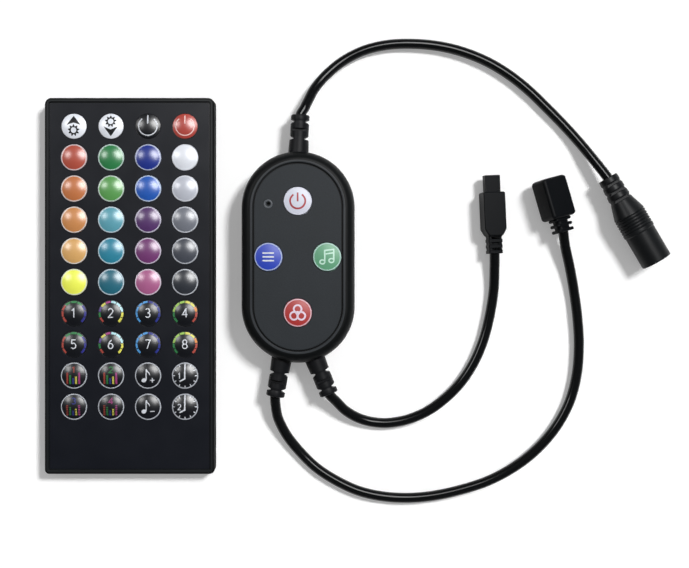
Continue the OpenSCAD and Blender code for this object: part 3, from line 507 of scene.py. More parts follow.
class Draft:
    """Solids in the making, each face with a number that says which finish it has."""

    FREE = 99.0
    WELD = 1e-4
    SHARP_DEGREES = 38.0
    DRILL_FACETS = 48
    SLEEVE_FACETS = 96
    PRINT_STEP = 0.4
    PRINT_LIFT = 0.025
    PRINT_ROOT = 0.06

    def __init__(self) -> None:
        """Starts with no faces."""
        self.points: list[Sequence[float]] = []
        self.faces: list[list[int]] = []
        self.tones: list[int] = []

    def sheet(
        self,
        rows: np.ndarray,
        around: bool = True,
        closed: bool = False,
        lids: bool = False,
        tones: Tones = 0,
    ) -> None:
        """Adds quads over a grid of points.

        Args:
            rows: Points, row by row.
            around: Whether each row's end joins its start.
            closed: Whether the last row joins the first.
            lids: Whether the first and last rows are filled in.
            tones: The finish's number, or one for each band between rows.
        """
        count, across = rows.shape[:2]
        base = len(self.points)
        self.points.extend(rows.reshape(-1, 3).tolist())
        bands = count if closed else count - 1
        numbers = [tones] * bands if isinstance(tones, int) else tones
        for i in range(bands):
            for k in range(across if around else across - 1):
                low, high = base + i * across, base + (i + 1) % count * across
                after = (k + 1) % across
                self.faces.append([low + k, low + after, high + after, high + k])
                self.tones.append(numbers[i])
        if lids:
            first = [base + k for k in range(across)]
            last = [base + (count - 1) * across + k for k in range(across)]
            self.faces.extend([first[::-1], last])
            self.tones.extend([numbers[0], numbers[-1]])

    def revolve(
        self, profile: Sequence[Vec2], steps: int = 64, spot: Vec3 = (0, 0, 0), tones: Tones = 0
    ) -> None:
        """Adds a turned solid.

        Args:
            profile: Radius and height of each point, from the axis to the axis.
            steps: Facets round the axis.
            spot: Where the axis starts.
            tones: The finish's number, or one for each band.
        """
        turn = np.linspace(0, 2 * math.pi, steps, endpoint=False)
        ring = np.stack([np.cos(turn), np.sin(turn), np.zeros(steps)], 1)
        rows = [r * ring + (spot[0], spot[1], spot[2] + z) for r, z in profile]
        self.sheet(np.array(rows), tones=tones)

    def sleeve(self, profile: Sequence[Vec2], sides: Sequence[Vec2], faces: Sequence[Vec2]) -> None:
        """Adds a turned solid with flat cuts at its sides and at its faces.

        Args:
            profile: Radius and height of each point.
            sides: Height and reach of the cuts at the sides; a reach of FREE cuts nothing.
            faces: Height and reach of the cuts at the faces.
        """
        free = self.FREE
        heights = sorted({z for z, _ in [*sides, *faces] if abs(z) < free})
        full: list[Vec2] = [profile[0]]
        for (r0, z0), (r1, z1) in zip(profile, profile[1:]):
            for z in heights:
                if z0 < z < z1:
                    full.append((r0 + (r1 - r0) * (z - z0) / (z1 - z0), z))
            full.append((r1, z1))
        turn = np.linspace(0, 2 * math.pi, self.SLEEVE_FACETS, endpoint=False)
        rows = []
        for r, z in full:
            reach_x, reach_y = (np.interp(z, *zip(*cuts)) if cuts else free for cuts in (faces, sides))
            x = np.clip(r * np.cos(turn), -reach_x, reach_x)
            y = np.clip(r * np.sin(turn), -reach_y, reach_y)
            rows.append(at_height(np.stack([x, y], 1), z))
        self.sheet(np.array(rows))

    def sweep(
        self,
        profile: Sequence[Vec2],
        width: float,
        length: float,
        radius: float | Vec2,
        steps: int = 8,
        tones: Tones = 0,
    ) -> None:
        """Sweeps a closed profile round a rounded rectangle.

        Args:
            profile: Distance inwards from the outline, and height, of each point.
            width: The outline's width.
            length: The outline's length.
            radius: Radius of its corners, or of the far ones and of the near ones.
            steps: Facets of each corner.
            tones: The finish's number, or one for each band.
        """
        rows = []
        for inset, z in profile:
            inner = np.subtract(radius, inset)
            rows.append(at_height(rounded(width - 2 * inset, length - 2 * inset, inner, steps), z))
        self.sheet(np.array(rows), closed=True, tones=tones)

    def loft(self, sections: Sequence[Section], steps: int = 6) -> None:
        """Adds a solid through sections stacked along its axis, with facets at each corner."""
        rows = [at_height(rounded(down, across, r, steps), z) for z, down, across, r in sections]
        self.sheet(np.array(rows), lids=True)

    def box(self, low: Vec3, high: Vec3) -> None:
        """Adds a block.

        Args:
            low: Its lowest corner.
            high: Its highest corner.
        """
        (x0, y0), (x1, y1) = low[:2], high[:2]
        corners = np.array([[x0, y0], [x1, y0], [x1, y1], [x0, y1]])
        rows = [at_height(corners, z) for z in (low[2], high[2])]
        self.sheet(np.array(rows), lids=True)

    def cylinder(self, radius: float, foot: Vec3, height: float) -> None:
        """Adds an upright cylinder."""
        self.revolve([(0, 0), (radius, 0), (radius, height), (0, height)], self.DRILL_FACETS, foot)

    def print_on(
        self,
        edges: np.ndarray,
        surface: Callable[[np.ndarray, np.ndarray], np.ndarray],
        spot: Vec2,
        tone: int,
    ) -> None:
        """Adds a thin printed patch that follows a surface.

        Args:
            edges: Pairs of points in the plane, from one edge of the patch to the other.
            surface: Gives the surface's height at points about the spot.
            spot: The middle of what it is printed on.
            tone: The ink's number.
        """
        widest = np.linalg.norm(edges[:, 1] - edges[:, 0], axis=1).max()
        share = np.linspace(0, 1, max(1, math.ceil(widest / self.PRINT_STEP)) + 1)[None, :, None]
        flat = edges[:, :1] * (1 - share) + edges[:, 1:] * share
        x, y = flat[..., 0], flat[..., 1]
        height = surface(x, y)
        top, foot = (
            np.stack([x + spot[0], y + spot[1], height + lift], -1)
            for lift in (self.PRINT_LIFT, -self.PRINT_ROOT)
        )
        self.sheet(np.concatenate([top, foot[:, ::-1]], 1), lids=True, tones=tone)

    def build(
        self, name: str, finishes: Sequence[Finish | Ink], place: Matrix = Matrix.Identity(4)
    ) -> bpy.types.Object:
        """Makes the mesh.

        Args:
            name: The piece's name.
            finishes: One for each tone.
            place: Where the solids go.

        Returns:
            The new object, in the scene.
        """
        mesh = bpy.data.meshes.new(name)
        mesh.from_pydata(self.points, [], self.faces)
        mesh.polygons.foreach_set("material_index", self.tones)
        for kind in finishes:
            mesh.materials.append(kind.material())
        net = bmesh.new()
        net.from_mesh(mesh)
        bmesh.ops.remove_doubles(net, verts=net.verts, dist=self.WELD)
        bmesh.ops.recalc_face_normals(net, faces=net.faces)
        net.to_mesh(mesh)
        net.free()
        mesh.transform(Matrix.Scale(MM, 4) @ place)
        piece = bpy.data.objects.new(name, mesh)
        bpy.context.scene.collection.objects.link(piece)
        shade(piece)
        return piece


def shade(piece: bpy.types.Object) -> None:
    """Shades a piece smooth, apart from its sharp edges."""
    piece.data.shade_smooth()
    piece.data.set_sharp_from_angle(angle=math.radians(Draft.SHARP_DEGREES))


def reshape(piece: bpy.types.Object, kind: str, **settings: object) -> None:
    """Works a modifier into a piece's mesh.

    Args:
        piece: The piece.
        kind: The modifier's type.
        settings: The modifier's settings.
    """
    modifier = piece.modifiers.new(kind.lower(), kind)
    for name, value in settings.items():
        setattr(modifier, name, value)
    graph = bpy.context.evaluated_depsgraph_get()
    mesh = bpy.data.meshes.new_from_object(piece.evaluated_get(graph))
    piece.modifiers.clear()
    piece.data = mesh


def carve(piece: bpy.types.Object, cutters: Draft, place: Matrix = Matrix.Identity(4)) -> None:
    """Takes solids out of a piece.

    Args:
        piece: What is cut.
        cutters: The solids.
        place: Where they go.
    """
    tool = cutters.build(piece.name + "_cutter", [], place)
    reshape(piece, "BOOLEAN", operation="DIFFERENCE", solver="EXACT", object=tool)
    shade(piece)
    bpy.data.objects.remove(tool)


def soften(piece: bpy.types.Object, width: float, segments: int = 2, degrees: float = 50.0) -> None:
    """Rounds a piece's sharp edges.

    Args:
        piece: What is rounded.
        width: Width of the rounding.
        segments: Its facets.
        degrees: The least angle of an edge that is rounded.
    """
    least = math.radians(degrees)
    reshape(piece, "BEVEL", width=width * MM, segments=segments, limit_method="ANGLE", angle_limit=least)
    shade(piece)


def box_mm(node: str) -> tuple[Vector, Vector]:
    """Gives a frame node's lowest and highest corner in millimetres."""
    low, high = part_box(node)
    return low / MM, high / MM


def fit_out(piece: bpy.types.Object, body: str, slot: str, *replaced: str) -> bpy.types.Object:
    """Evens out a piece's shading over its narrow rounded edges and joins it to its body.

    Args:
        piece: The new piece.
        body: The body that it moves with.
        slot: The material slot that it stands for; not used.
        replaced: The frame's nodes that it stands for.

    Returns:
        The same piece.
    """
    reshape(piece, "WEIGHTED_NORMAL", mode="FACE_AREA", keep_sharp=True)
    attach(piece, body)
    if replaced:
        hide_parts(*replaced)
    LOG.info("%s rides on %s, %d faces", piece.name, body, len(piece.data.polygons))
    return piece


def dress(node: str, kind: Finish) -> None:
    """Gives a frame node one finish.

    Args:
        node: The node's name.
        kind: The finish.
    """
    mesh = FRAME["nodes"][node].data
    mesh.materials.clear()
    mesh.materials.append(kind.material())
    LOG.info("%s is dressed in %s", node, kind.name)


# Printed marks


Patch = np.ndarray
Print = tuple[Patch, Ink]


def ribbon(
    path: np.ndarray | Sequence[Vec2], width: float | Sequence[float], step: float = 0.15
) -> Patch:
    """A stroke along a path, mitred at its bends.

    Args:
        path: The stroke's middle line.
        width: Its width, or one width for each point.
        step: Greatest length of a facet.

    Returns:
        A grid of points, two in each row.
    """
    sharpest = 0.5
    nodes = np.array(path, float)
    widths = np.full(len(nodes), width) if np.isscalar(width) else np.array(width, float)
    line, spans = [nodes[0]], [widths[0]]
    for i in range(1, len(nodes)):
        parts = max(1, math.ceil(np.linalg.norm(nodes[i] - nodes[i - 1]) / step))
        for k in range(1, parts + 1):
            line.append(nodes[i - 1] + (nodes[i] - nodes[i - 1]) * k / parts)
            spans.append(widths[i - 1] + (widths[i] - widths[i - 1]) * k / parts)
    middle = np.array(line)
    ways = np.diff(middle, axis=0)
    ways /= np.linalg.norm(ways, axis=1, keepdims=True)
    before = np.vstack([ways[:1], ways])
    after = np.vstack([ways, ways[-1:]])
    blend = before + after
    blend /= np.linalg.norm(blend, axis=1, keepdims=True)
    mitre = np.clip(np.sum(blend * after, axis=1), sharpest, 1.0)
    normal = np.stack([-blend[:, 1], blend[:, 0]], 1)
    reach = normal * (np.array(spans) / 2 / mitre)[:, None]
    return np.stack([middle + reach, middle - reach], 1)


def disc(centre: Vec2, radii: Vec2, tilt: float = 0.0) -> Patch:
    """A filled ellipse, as bands from its long axis.

    Args:
        centre: Its middle.
        radii: Its two radii.
        tilt: Its turn in degrees.

    Returns:
        A grid of points, two in each row.
    """
    blunt_degrees, points = 2, 17
    turn = np.radians(np.linspace(blunt_degrees, 180 - blunt_degrees, points))
    x, y = radii[0] * np.cos(turn), radii[1] * np.sin(turn)
    c, s = math.cos(math.radians(tilt)), math.sin(math.radians(tilt))
    upper = np.stack([centre[0] + c * x - s * y, centre[1] + s * x + c * y], 1)
    lower = np.stack([centre[0] + c * x + s * y, centre[1] + s * x - c * y], 1)
    return np.stack([upper, lower], 1)


def power_mark(
    radius: float, width: float, gap: float, top: float, foot: float, bar: float
) -> list[Patch]:
    """A ring with a gap at its top and a bar in the gap.

    Args:
        radius: Radius of the ring.
        width: Width of the ring's stroke.
        gap: Half of the gap's angle in degrees.
        top: Height of the bar's upper end.
        foot: Height of its lower end.
        bar: Width of the bar.

    Returns:
        The mark's patches.
    """
    return [
        ribbon(arc((0, 0), (radius, radius), 90 + gap, 450 - gap, 48), width),
        ribbon([(0, foot), (0, top)], bar),
    ]


def sun_mark(middle: float, radius: float = 1.95) -> list[Patch]:
    """A small ring with nine tapered rays, the first of them upwards.

    Args:
        middle: Height of its middle.
        radius: Reach of the rays.

    Returns:
        The mark's patches.
    """
    rays, ring_share, foot_share = 9, 0.58, 0.6
    ring_width, foot_width, tip_width = 0.38, 0.9, 0.2
    centre = (0, middle)
    patches = [ribbon(circle(centre, radius * ring_share, 36), ring_width)]
    for k in range(rays):
        turn = math.radians(90 + 360 * k / rays)
        way = np.array([math.cos(turn), math.sin(turn)])
        foot, tip = np.array(centre) + way * radius * foot_share, np.array(centre) + way * radius
        patches.append(ribbon([foot, tip], [foot_width, tip_width]))
    return patches


def arrow_mark(tip: float, wing: float, notch: float, reach: float = 2.4) -> list[Patch]:
    """An arrowhead with a notched foot, in two halves.

    Args:
        tip: Height of its point.
        wing: Height of its two wings' ends.
        notch: Height of the notch between them.
        reach: Half of its width.

    Returns:
        The mark's patches.
    """
    halves, points, least = [], 7, 0.01
    for side in (-1, 1):
        inner = np.linspace((0, tip), (0, notch), points)
        outer = np.linspace((least * side, tip), (reach * side, wing), points)
        halves.append(np.stack([inner, outer], 1))
    return halves


# Strokes of the numerals in their own frame; a stroke is a list of points, or an arc's
# centre, radii and two angles
NUMERAL_FRAME = np.array((1.0, 1.6))
NUMERALS: dict[int, list] = {
    1: [[(0.2, 1.25), (0.56, 1.6), (0.56, 0.0)]],
    2: [((0.5, 1.16), (0.42, 0.44), 165, -35), [(0.84, 0.9), (0.08, 0.0), (0.95, 0.0)]],
    3: [((0.48, 1.2), (0.38, 0.4), 150, -90), ((0.48, 0.41), (0.44, 0.41), 90, -150)],
    4: [[(0.74, 0.0), (0.74, 1.6), (0.06, 0.5), (1.0, 0.5)]],
    5: [[(0.9, 1.6), (0.2, 1.6), (0.14, 0.86)], ((0.48, 0.5), (0.44, 0.5), 130, -145)],
    6: [((0.5, 0.47), (0.42, 0.47), 0, 360), [(0.09, 0.55), (0.22, 1.1), (0.66, 1.6)]],
    7: [[(0.06, 1.6), (0.94, 1.6), (0.4, 0.0)]],
    8: [((0.5, 1.2), (0.36, 0.4), 0, 360), ((0.5, 0.41), (0.44, 0.41), 0, 360)],
}


def numeral(
    digit: int, middle: Vec2, height: float, width: float, stretch: float = 1.0
) -> list[Patch]:
    """A plain numeral.

    Args:
        digit: Which one.
        middle: Its middle.
        height: Its height.
        width: Width of its strokes.
        stretch: How much wider it is than in its own frame.

    Returns:
        The strokes' patches.
    """
    scale = np.array([stretch, 1.0]) * height / NUMERAL_FRAME[1]
    patches = []
    for stroke in NUMERALS[digit]:
        path = np.array(stroke) if isinstance(stroke, list) else arc(*stroke, 24)
        patches.append(ribbon((path - NUMERAL_FRAME / 2) * scale + middle, width))
    return patches


def inked(patches: Sequence[Patch], ink: Ink) -> tuple[Print, ...]:
    """Gives all patches one ink."""
    return tuple((patch, ink) for patch in patches)


def gauge(colours: Sequence[Ink], radius: float = 3.8, width: float = 0.7) -> tuple[Print, ...]:
    """A ring of coloured segments, open at its foot.

    Args:
        colours: The segments' inks, clockwise from the lower left.
        radius: Radius of the ring's middle line.
        width: Width of the segments.

    Returns:
        The segments and their inks.
    """
    start, whole, gap = 230.0, 280.0, 4.0
    step = whole / len(colours)
    prints = []
    for k, ink in enumerate(colours):
        first, last = start - k * step - gap / 2, start - (k + 1) * step + gap / 2
        prints.append((ribbon(arc((0, 0), (radius, radius), first, last, 8), width), ink))
    return tuple(prints)


def level_bars(dotted: bool) -> tuple[Print, ...]:
    """Five upright coloured bars of different heights.

    Args:
        dotted: Whether the bars are broken into short pieces.

    Returns:
        The bars and their inks.
    """
    foot, width, step, piece, gap = -2.8, 0.62, 0.3, 0.36, 0.24
    bars = [
        (-2.14, 1.07, Ink.DEEP_RED), (-1.14, 0.2, Ink.DEEP_GREEN), (-0.13, -0.8, Ink.DEEP_BLUE),
        (0.83, -0.27, Ink.DEEP_YELLOW), (1.87, 1.07, Ink.DEEP_MAGENTA),
    ]
    prints: list[Print] = []
    for x, top, ink in bars:
        lows = [foot + k * (piece + gap) for k in range(int((top - foot) / (piece + gap)))]
        spans = [(low, low + piece) for low in lows] if dotted else [(foot, top)]
        prints += [(ribbon([(x, low), (x, high)], width, step), ink) for low, high in spans]
    return tuple(prints)


def clock_mark() -> list[Patch]:
    """Twelve ticks and two hands.

    Returns:
        The mark's patches.
    """
    tick_out, tick_in, tick_width, hand_width = 4.0, 3.35, 0.3, 0.46
    patches = []
    for k in range(12):
        way = np.array([math.cos(math.radians(30 * k)), math.sin(math.radians(30 * k))])
        patches.append(ribbon([way * tick_in, way * tick_out], tick_width))
    patches.append(ribbon([(0.0, 3.7), (0.0, -1.0), (-1.75, -1.95)], hand_width))
    return patches


def note_mark(more: bool) -> list[Patch]:
    """A single note with its flag, and a sign at its foot.

    Args:
        more: Whether the sign is for more, and not for less.

    Returns:
        The mark's patches.
    """
    sign_width = 0.28
    patches = [
        disc((-1.3, -1.55), (0.85, 0.66), 20),
        ribbon([(-0.52, -1.45), (-0.52, 2.2)], 0.3),
        ribbon([(-0.52, 2.2), (-0.15, 1.45), (0.45, 0.9), (0.72, 0.2)], [0.34, 0.34, 0.28, 0.16]),
        ribbon([(0.75, -1.5), (2.25, -1.5)], sign_width),
    ]
    if more:
        patches.append(ribbon([(1.5, -0.75), (1.5, -2.25)], sign_width))
    return patches


# Keys and buttons


@dataclass(frozen=True)
class KeyStyle:
    """How one key looks: its dome, whether a silver ring shows, and its marks."""

    shade: Shade
    ringed: bool = True
    prints: tuple[Print, ...] = ()
    gloss: float = 0.9
    silver: Shade = (204, 208, 216)
    tint: float = 0.2

    def ring(self) -> Finish:
        """Gives the ring's finish, silver that takes up some of the dome's colour.

        Returns:
            The finish.
        """
        pairs = zip(self.silver, self.shade)
        shade = tuple(round(plain * (1 - self.tint) + own * self.tint) for plain, own in pairs)
        name = "ring_" + "_".join(map(str, shade))
        return Moulded(name, shade, 0.4, 0.5, grain_mm=0.2, grain_depth=0.003, mottle=0.06)


WHITE_KEY: Shade = (229, 233, 241)
BLACK_KEY: Shade = (16, 18, 24)
PLAIN_KEYS: dict[str, Shade] = {
    "key_red": (177, 78, 60), "key_green": (41, 126, 71), "key_blue": (25, 48, 140),
    "key_white": WHITE_KEY,
    "key_orange_red": (193, 115, 66), "key_light_green": (90, 157, 82),
    "key_sky_blue": (27, 88, 181), "key_pale_grey": (187, 191, 202),
    "key_orange": (202, 136, 79), "key_turquoise": (90, 159, 176),
    "key_violet": (85, 50, 106), "key_mid_grey": (115, 119, 129),
    "key_amber": (215, 166, 100), "key_teal_blue": (41, 132, 158),
    "key_purple": (115, 55, 113), "key_dark_grey": (71, 75, 85),
    "key_yellow": (240, 246, 88), "key_dark_teal": (33, 104, 124),
    "key_pink": (169, 92, 138), "key_charcoal": (47, 51, 59),
}


def top_keys() -> dict[str, KeyStyle]:
    """Gives the looks of the four keys without rings in the top row.

    Returns:
        The looks by the keys' names.
    """
    power = power_mark(radius=3.1, width=0.34, gap=38, top=3.65, foot=0.75, bar=0.42)
    bright = arrow_mark(tip=3.4, wing=0.35, notch=1.15) + sun_mark(-1.4)
    dim = arrow_mark(tip=-3.4, wing=-0.1, notch=-1.2) + sun_mark(1.55)
    return {
        "key_brighter": KeyStyle(WHITE_KEY, False, inked(bright, Ink.BLACK)),
        "key_dimmer": KeyStyle(WHITE_KEY, False, inked(dim, Ink.BLACK)),
        "key_off": KeyStyle(BLACK_KEY, False, inked(power, Ink.WHITE), 0.7),
        "key_on": KeyStyle((178, 66, 56), False, inked(power, Ink.PALE_PINK)),
    }


def effect_keys(gloss: float = 0.42, timer_gloss: float = 0.85) -> dict[str, KeyStyle]:
    """Gives the looks of the sixteen black keys, whose numbers and marks stand for effects.

    Args:
        gloss: Weight of the clear coat on most of them.
        timer_gloss: Its weight on the timers.

    Returns:
        The looks by the keys' names.
    """
    rings = [
        [Ink.RED] * 3 + [Ink.GREEN] * 3 + [Ink.BLUE] * 3,
        [Ink.RED, Ink.GREEN, Ink.VIOLET, Ink.YELLOW, Ink.MAGENTA, *[Ink.ICE] * 3, *[Ink.YELLOW] * 2],
        [Ink.SKY] * 5 + [Ink.NAVY] * 5,
        [Ink.GREEN] * 2 + [Ink.LIME] * 3 + [Ink.YELLOW] * 2 + [Ink.ORANGE] + [Ink.RED] * 2,
    ]
    effects = ["jump_3", "fade_3", "flash", "fast", "jump_7", "fade_7", "auto", "slow"]
    styles = {}
    for k, name in enumerate(effects):
        marks = inked(numeral(k + 1, (0, 0.1), height=2.9, width=0.34), Ink.WHITE)
        prints = gauge(rings[k % len(rings)]) + marks
        styles[f"key_{name}"] = KeyStyle(BLACK_KEY, False, prints, gloss)
    for k, ink in enumerate((Ink.DEEP_RED, Ink.DEEP_GREEN, Ink.DEEP_BLUE, Ink.DEEP_MAGENTA)):
        marks = inked(numeral(k + 1, (0, 1.95), height=1.9, width=0.36, stretch=1.3), ink)
        styles[f"key_music_{k + 1}"] = KeyStyle(BLACK_KEY, True, level_bars(k > 1) + marks, gloss)
    for name, more in (("key_mic_up", True), ("key_mic_down", False)):
        styles[name] = KeyStyle(BLACK_KEY, True, inked(note_mark(more), Ink.WHITE), gloss)
    for digit in (1, 2):
        marks = clock_mark() + numeral(digit, (-1.85, -0.05), height=1.85, width=0.3)
        styles[f"key_timer_{digit}"] = KeyStyle(BLACK_KEY, True, inked(marks, Ink.WHITE), timer_gloss)
    return styles


@dataclass(frozen=True)
class ButtonLook:
    """How one of the box's buttons looks: its slot, its dome, its ring and its marks."""

    slot: str
    shade: Shade
    ring_shade: Shade
    prints: tuple[Print, ...]

    def finishes(self) -> tuple[Finish, Finish]:
        """Gives the finishes of the dome and of its ring."""
        looks = ((self.slot, self.shade), (self.slot + "_ring", self.ring_shade))
        return tuple(Lacquered(*look, roughness=0.42, coat=0.2, coat_roughness=0.35) for look in looks)


def button_looks() -> dict[str, ButtonLook]:
    """Gives the four buttons' looks.

    Returns:
        The looks by the buttons' names.
    """
    bars = [ribbon([(-1.9, y), (1.9, y)], 0.5) for y in (1.25, 0.0, -1.25)]
    spots = ((0.0, 1.26), (-1.2, -1.0), (1.2, -1.0))
    petals = [ribbon(circle(spot, 1.27, 40), 0.6) for spot in spots]
    petals.append(disc((0.0, -0.1), (0.7, 0.7)))
    note = [
        ribbon([(-0.77, -1.8), (-0.77, 2.1), (2.2, 2.46), (2.2, -1.1)], 0.5),
        ribbon([(-0.45, 0.95), (2.2, 1.37)], 0.44),
        ribbon(arc((-1.55, -1.67), (0.82, 0.66), 0, 360, 30), 0.46),
        ribbon(arc((1.42, -1.22), (0.82, 0.66), 0, 360, 30), 0.46),
    ]
    power = power_mark(radius=2.5, width=0.6, gap=33, top=2.8, foot=-0.15, bar=0.55)
    rows = [
        ("power", "white", (204, 207, 221), (204, 207, 221), power, Ink.BRICK),
        ("mode", "blue", (14, 56, 178), (150, 164, 204), bars, Ink.WHITE),
        ("music", "green", (88, 154, 116), (165, 200, 190), note, Ink.MINT),
        ("colour", "red", (168, 38, 36), (215, 170, 180), petals, Ink.LILAC),
    ]
    return {
        f"button_{name}": ButtonLook(f"button_{slot}", shade, ring, inked(patches, ink))
        for name, slot, shade, ring, patches, ink in rows
    }


@dataclass
class Cap:
    """A key's or a button's cap, turned about its own axis over its frame node."""

    node: str
    lip: float
    ring: float
    dome: float
    flange: float
    nub: Vec2
    edge: float = 0.1
    nub_edge: float = 0.08
    facets: int = 64
    ring_bands: int = 5
    dome_points: int = 13

    def __post_init__(self) -> None:
        """Reads the cap's place and size from its node."""
        low, high = box_mm(self.node)
        self.centre: Vec2 = ((low.x + high.x) / 2, (low.y + high.y) / 2)
        self.radius: float = (high.x - low.x) / 2 - self.lip
        self.foot, self.top = low.z, high.z

    def surface(self, x: np.ndarray, y: np.ndarray) -> np.ndarray:
        """Gives the dome's height.

        Args:
            x: First coordinates of points about the cap's middle.
            y: Their second coordinates.

        Returns:
            The height at each point.
        """
        span = self.radius - self.ring
        ball = (span**2 + self.dome**2) / (2 * self.dome)
        reach = np.minimum(x**2 + y**2, span**2)
        return self.top - ball + np.sqrt(ball**2 - reach)

    def make(self, dome_finish: Finish, ring_finish: Finish, slot: str) -> None:
        """Builds the cap.

        Args:
            dome_finish: Finish of the dome and the sides.
            ring_finish: Finish of the flat ring.
            slot: The cap's material slot.
        """
        span, outer, level = self.radius - self.ring, self.radius + self.lip, self.top - self.dome
        nub_r, nub_h = self.nub
        shank = self.foot + nub_h
        corners: list[tuple[float, ...]] = [
            (0, self.foot), (nub_r, self.foot, self.nub_edge), (nub_r, shank), (outer, shank),
            (outer, shank + self.flange), (self.radius, shank + self.flange),
            (self.radius, level, self.edge),
        ]
        if self.ring:
            corners.append((span, level))
        lower = fillet(corners)
        reach = np.linspace(span, 0, self.dome_points)
        dome = [(r, float(self.surface(np.array(r), np.array(0.0)))) for r in reach]
        ringed = self.ring_bands if self.ring else 0
        tones = [0] * (len(lower) - 1 - ringed) + [1] * ringed + [0] * (len(dome) - 1)
        draft = Draft()
        draft.revolve(lower + dome[1:], self.facets, (*self.centre, 0), tones)
        cap = draft.build(self.node + "_cap", [dome_finish, ring_finish])
        fit_out(cap, self.node, slot, self.node)

    def mark(self, prints: Sequence[Print], slot: str) -> None:
        """Prints the cap's marks on its dome.

        Args:
            prints: The patches and their inks.
            slot: The marks' material slot.
        """
        if not prints:
            return
        inks = list(dict.fromkeys(ink for _, ink in prints))
        draft = Draft()
        for patch, ink in prints:
            draft.print_on(patch, self.surface, self.centre, inks.index(ink))
        fit_out(draft.build(self.node + "_print", inks), self.node, slot)


# Housings


@dataclass
class Housing:
    """A shell whose place and size come from one of the frame's nodes."""

    node: ClassVar[str]

    def __post_init__(self) -> None:
        """Reads the housing's place and size from the frame."""
        self.low, self.high = box_mm(self.node)
        self.middle = (self.low + self.high) / 2
        self.width, self.length = (self.high - self.low).xy
        self.place = Matrix.Translation((self.middle.x, self.middle.y, 0))

    @staticmethod
    def eased(low: float, top: float, edge: float) -> list[Vec2]:
        """Gives heights and insets of the side of a plate whose upper edge is eased."""
        share = 0.3
        return [(low, 0.0), (top - edge, 0.0), (top - edge * share, edge * share), (top, edge)]

    @staticmethod
    def openings(holes: Sequence[tuple[Vec2, float]], low: float, depth: float) -> Draft:
        """Gives the cutters of round openings in a plate.

        Args:
            holes: Each opening's middle and radius.
            low: Height of the plate's underside.
            depth: The plate's thickness.

        Returns:
            The cutters, which reach past both sides of the plate.
        """
        over = 1.0
        cutters = Draft()
        for centre, radius in holes:
            cutters.cylinder(radius, (*centre, low - over), depth + 2 * over)
        return cutters


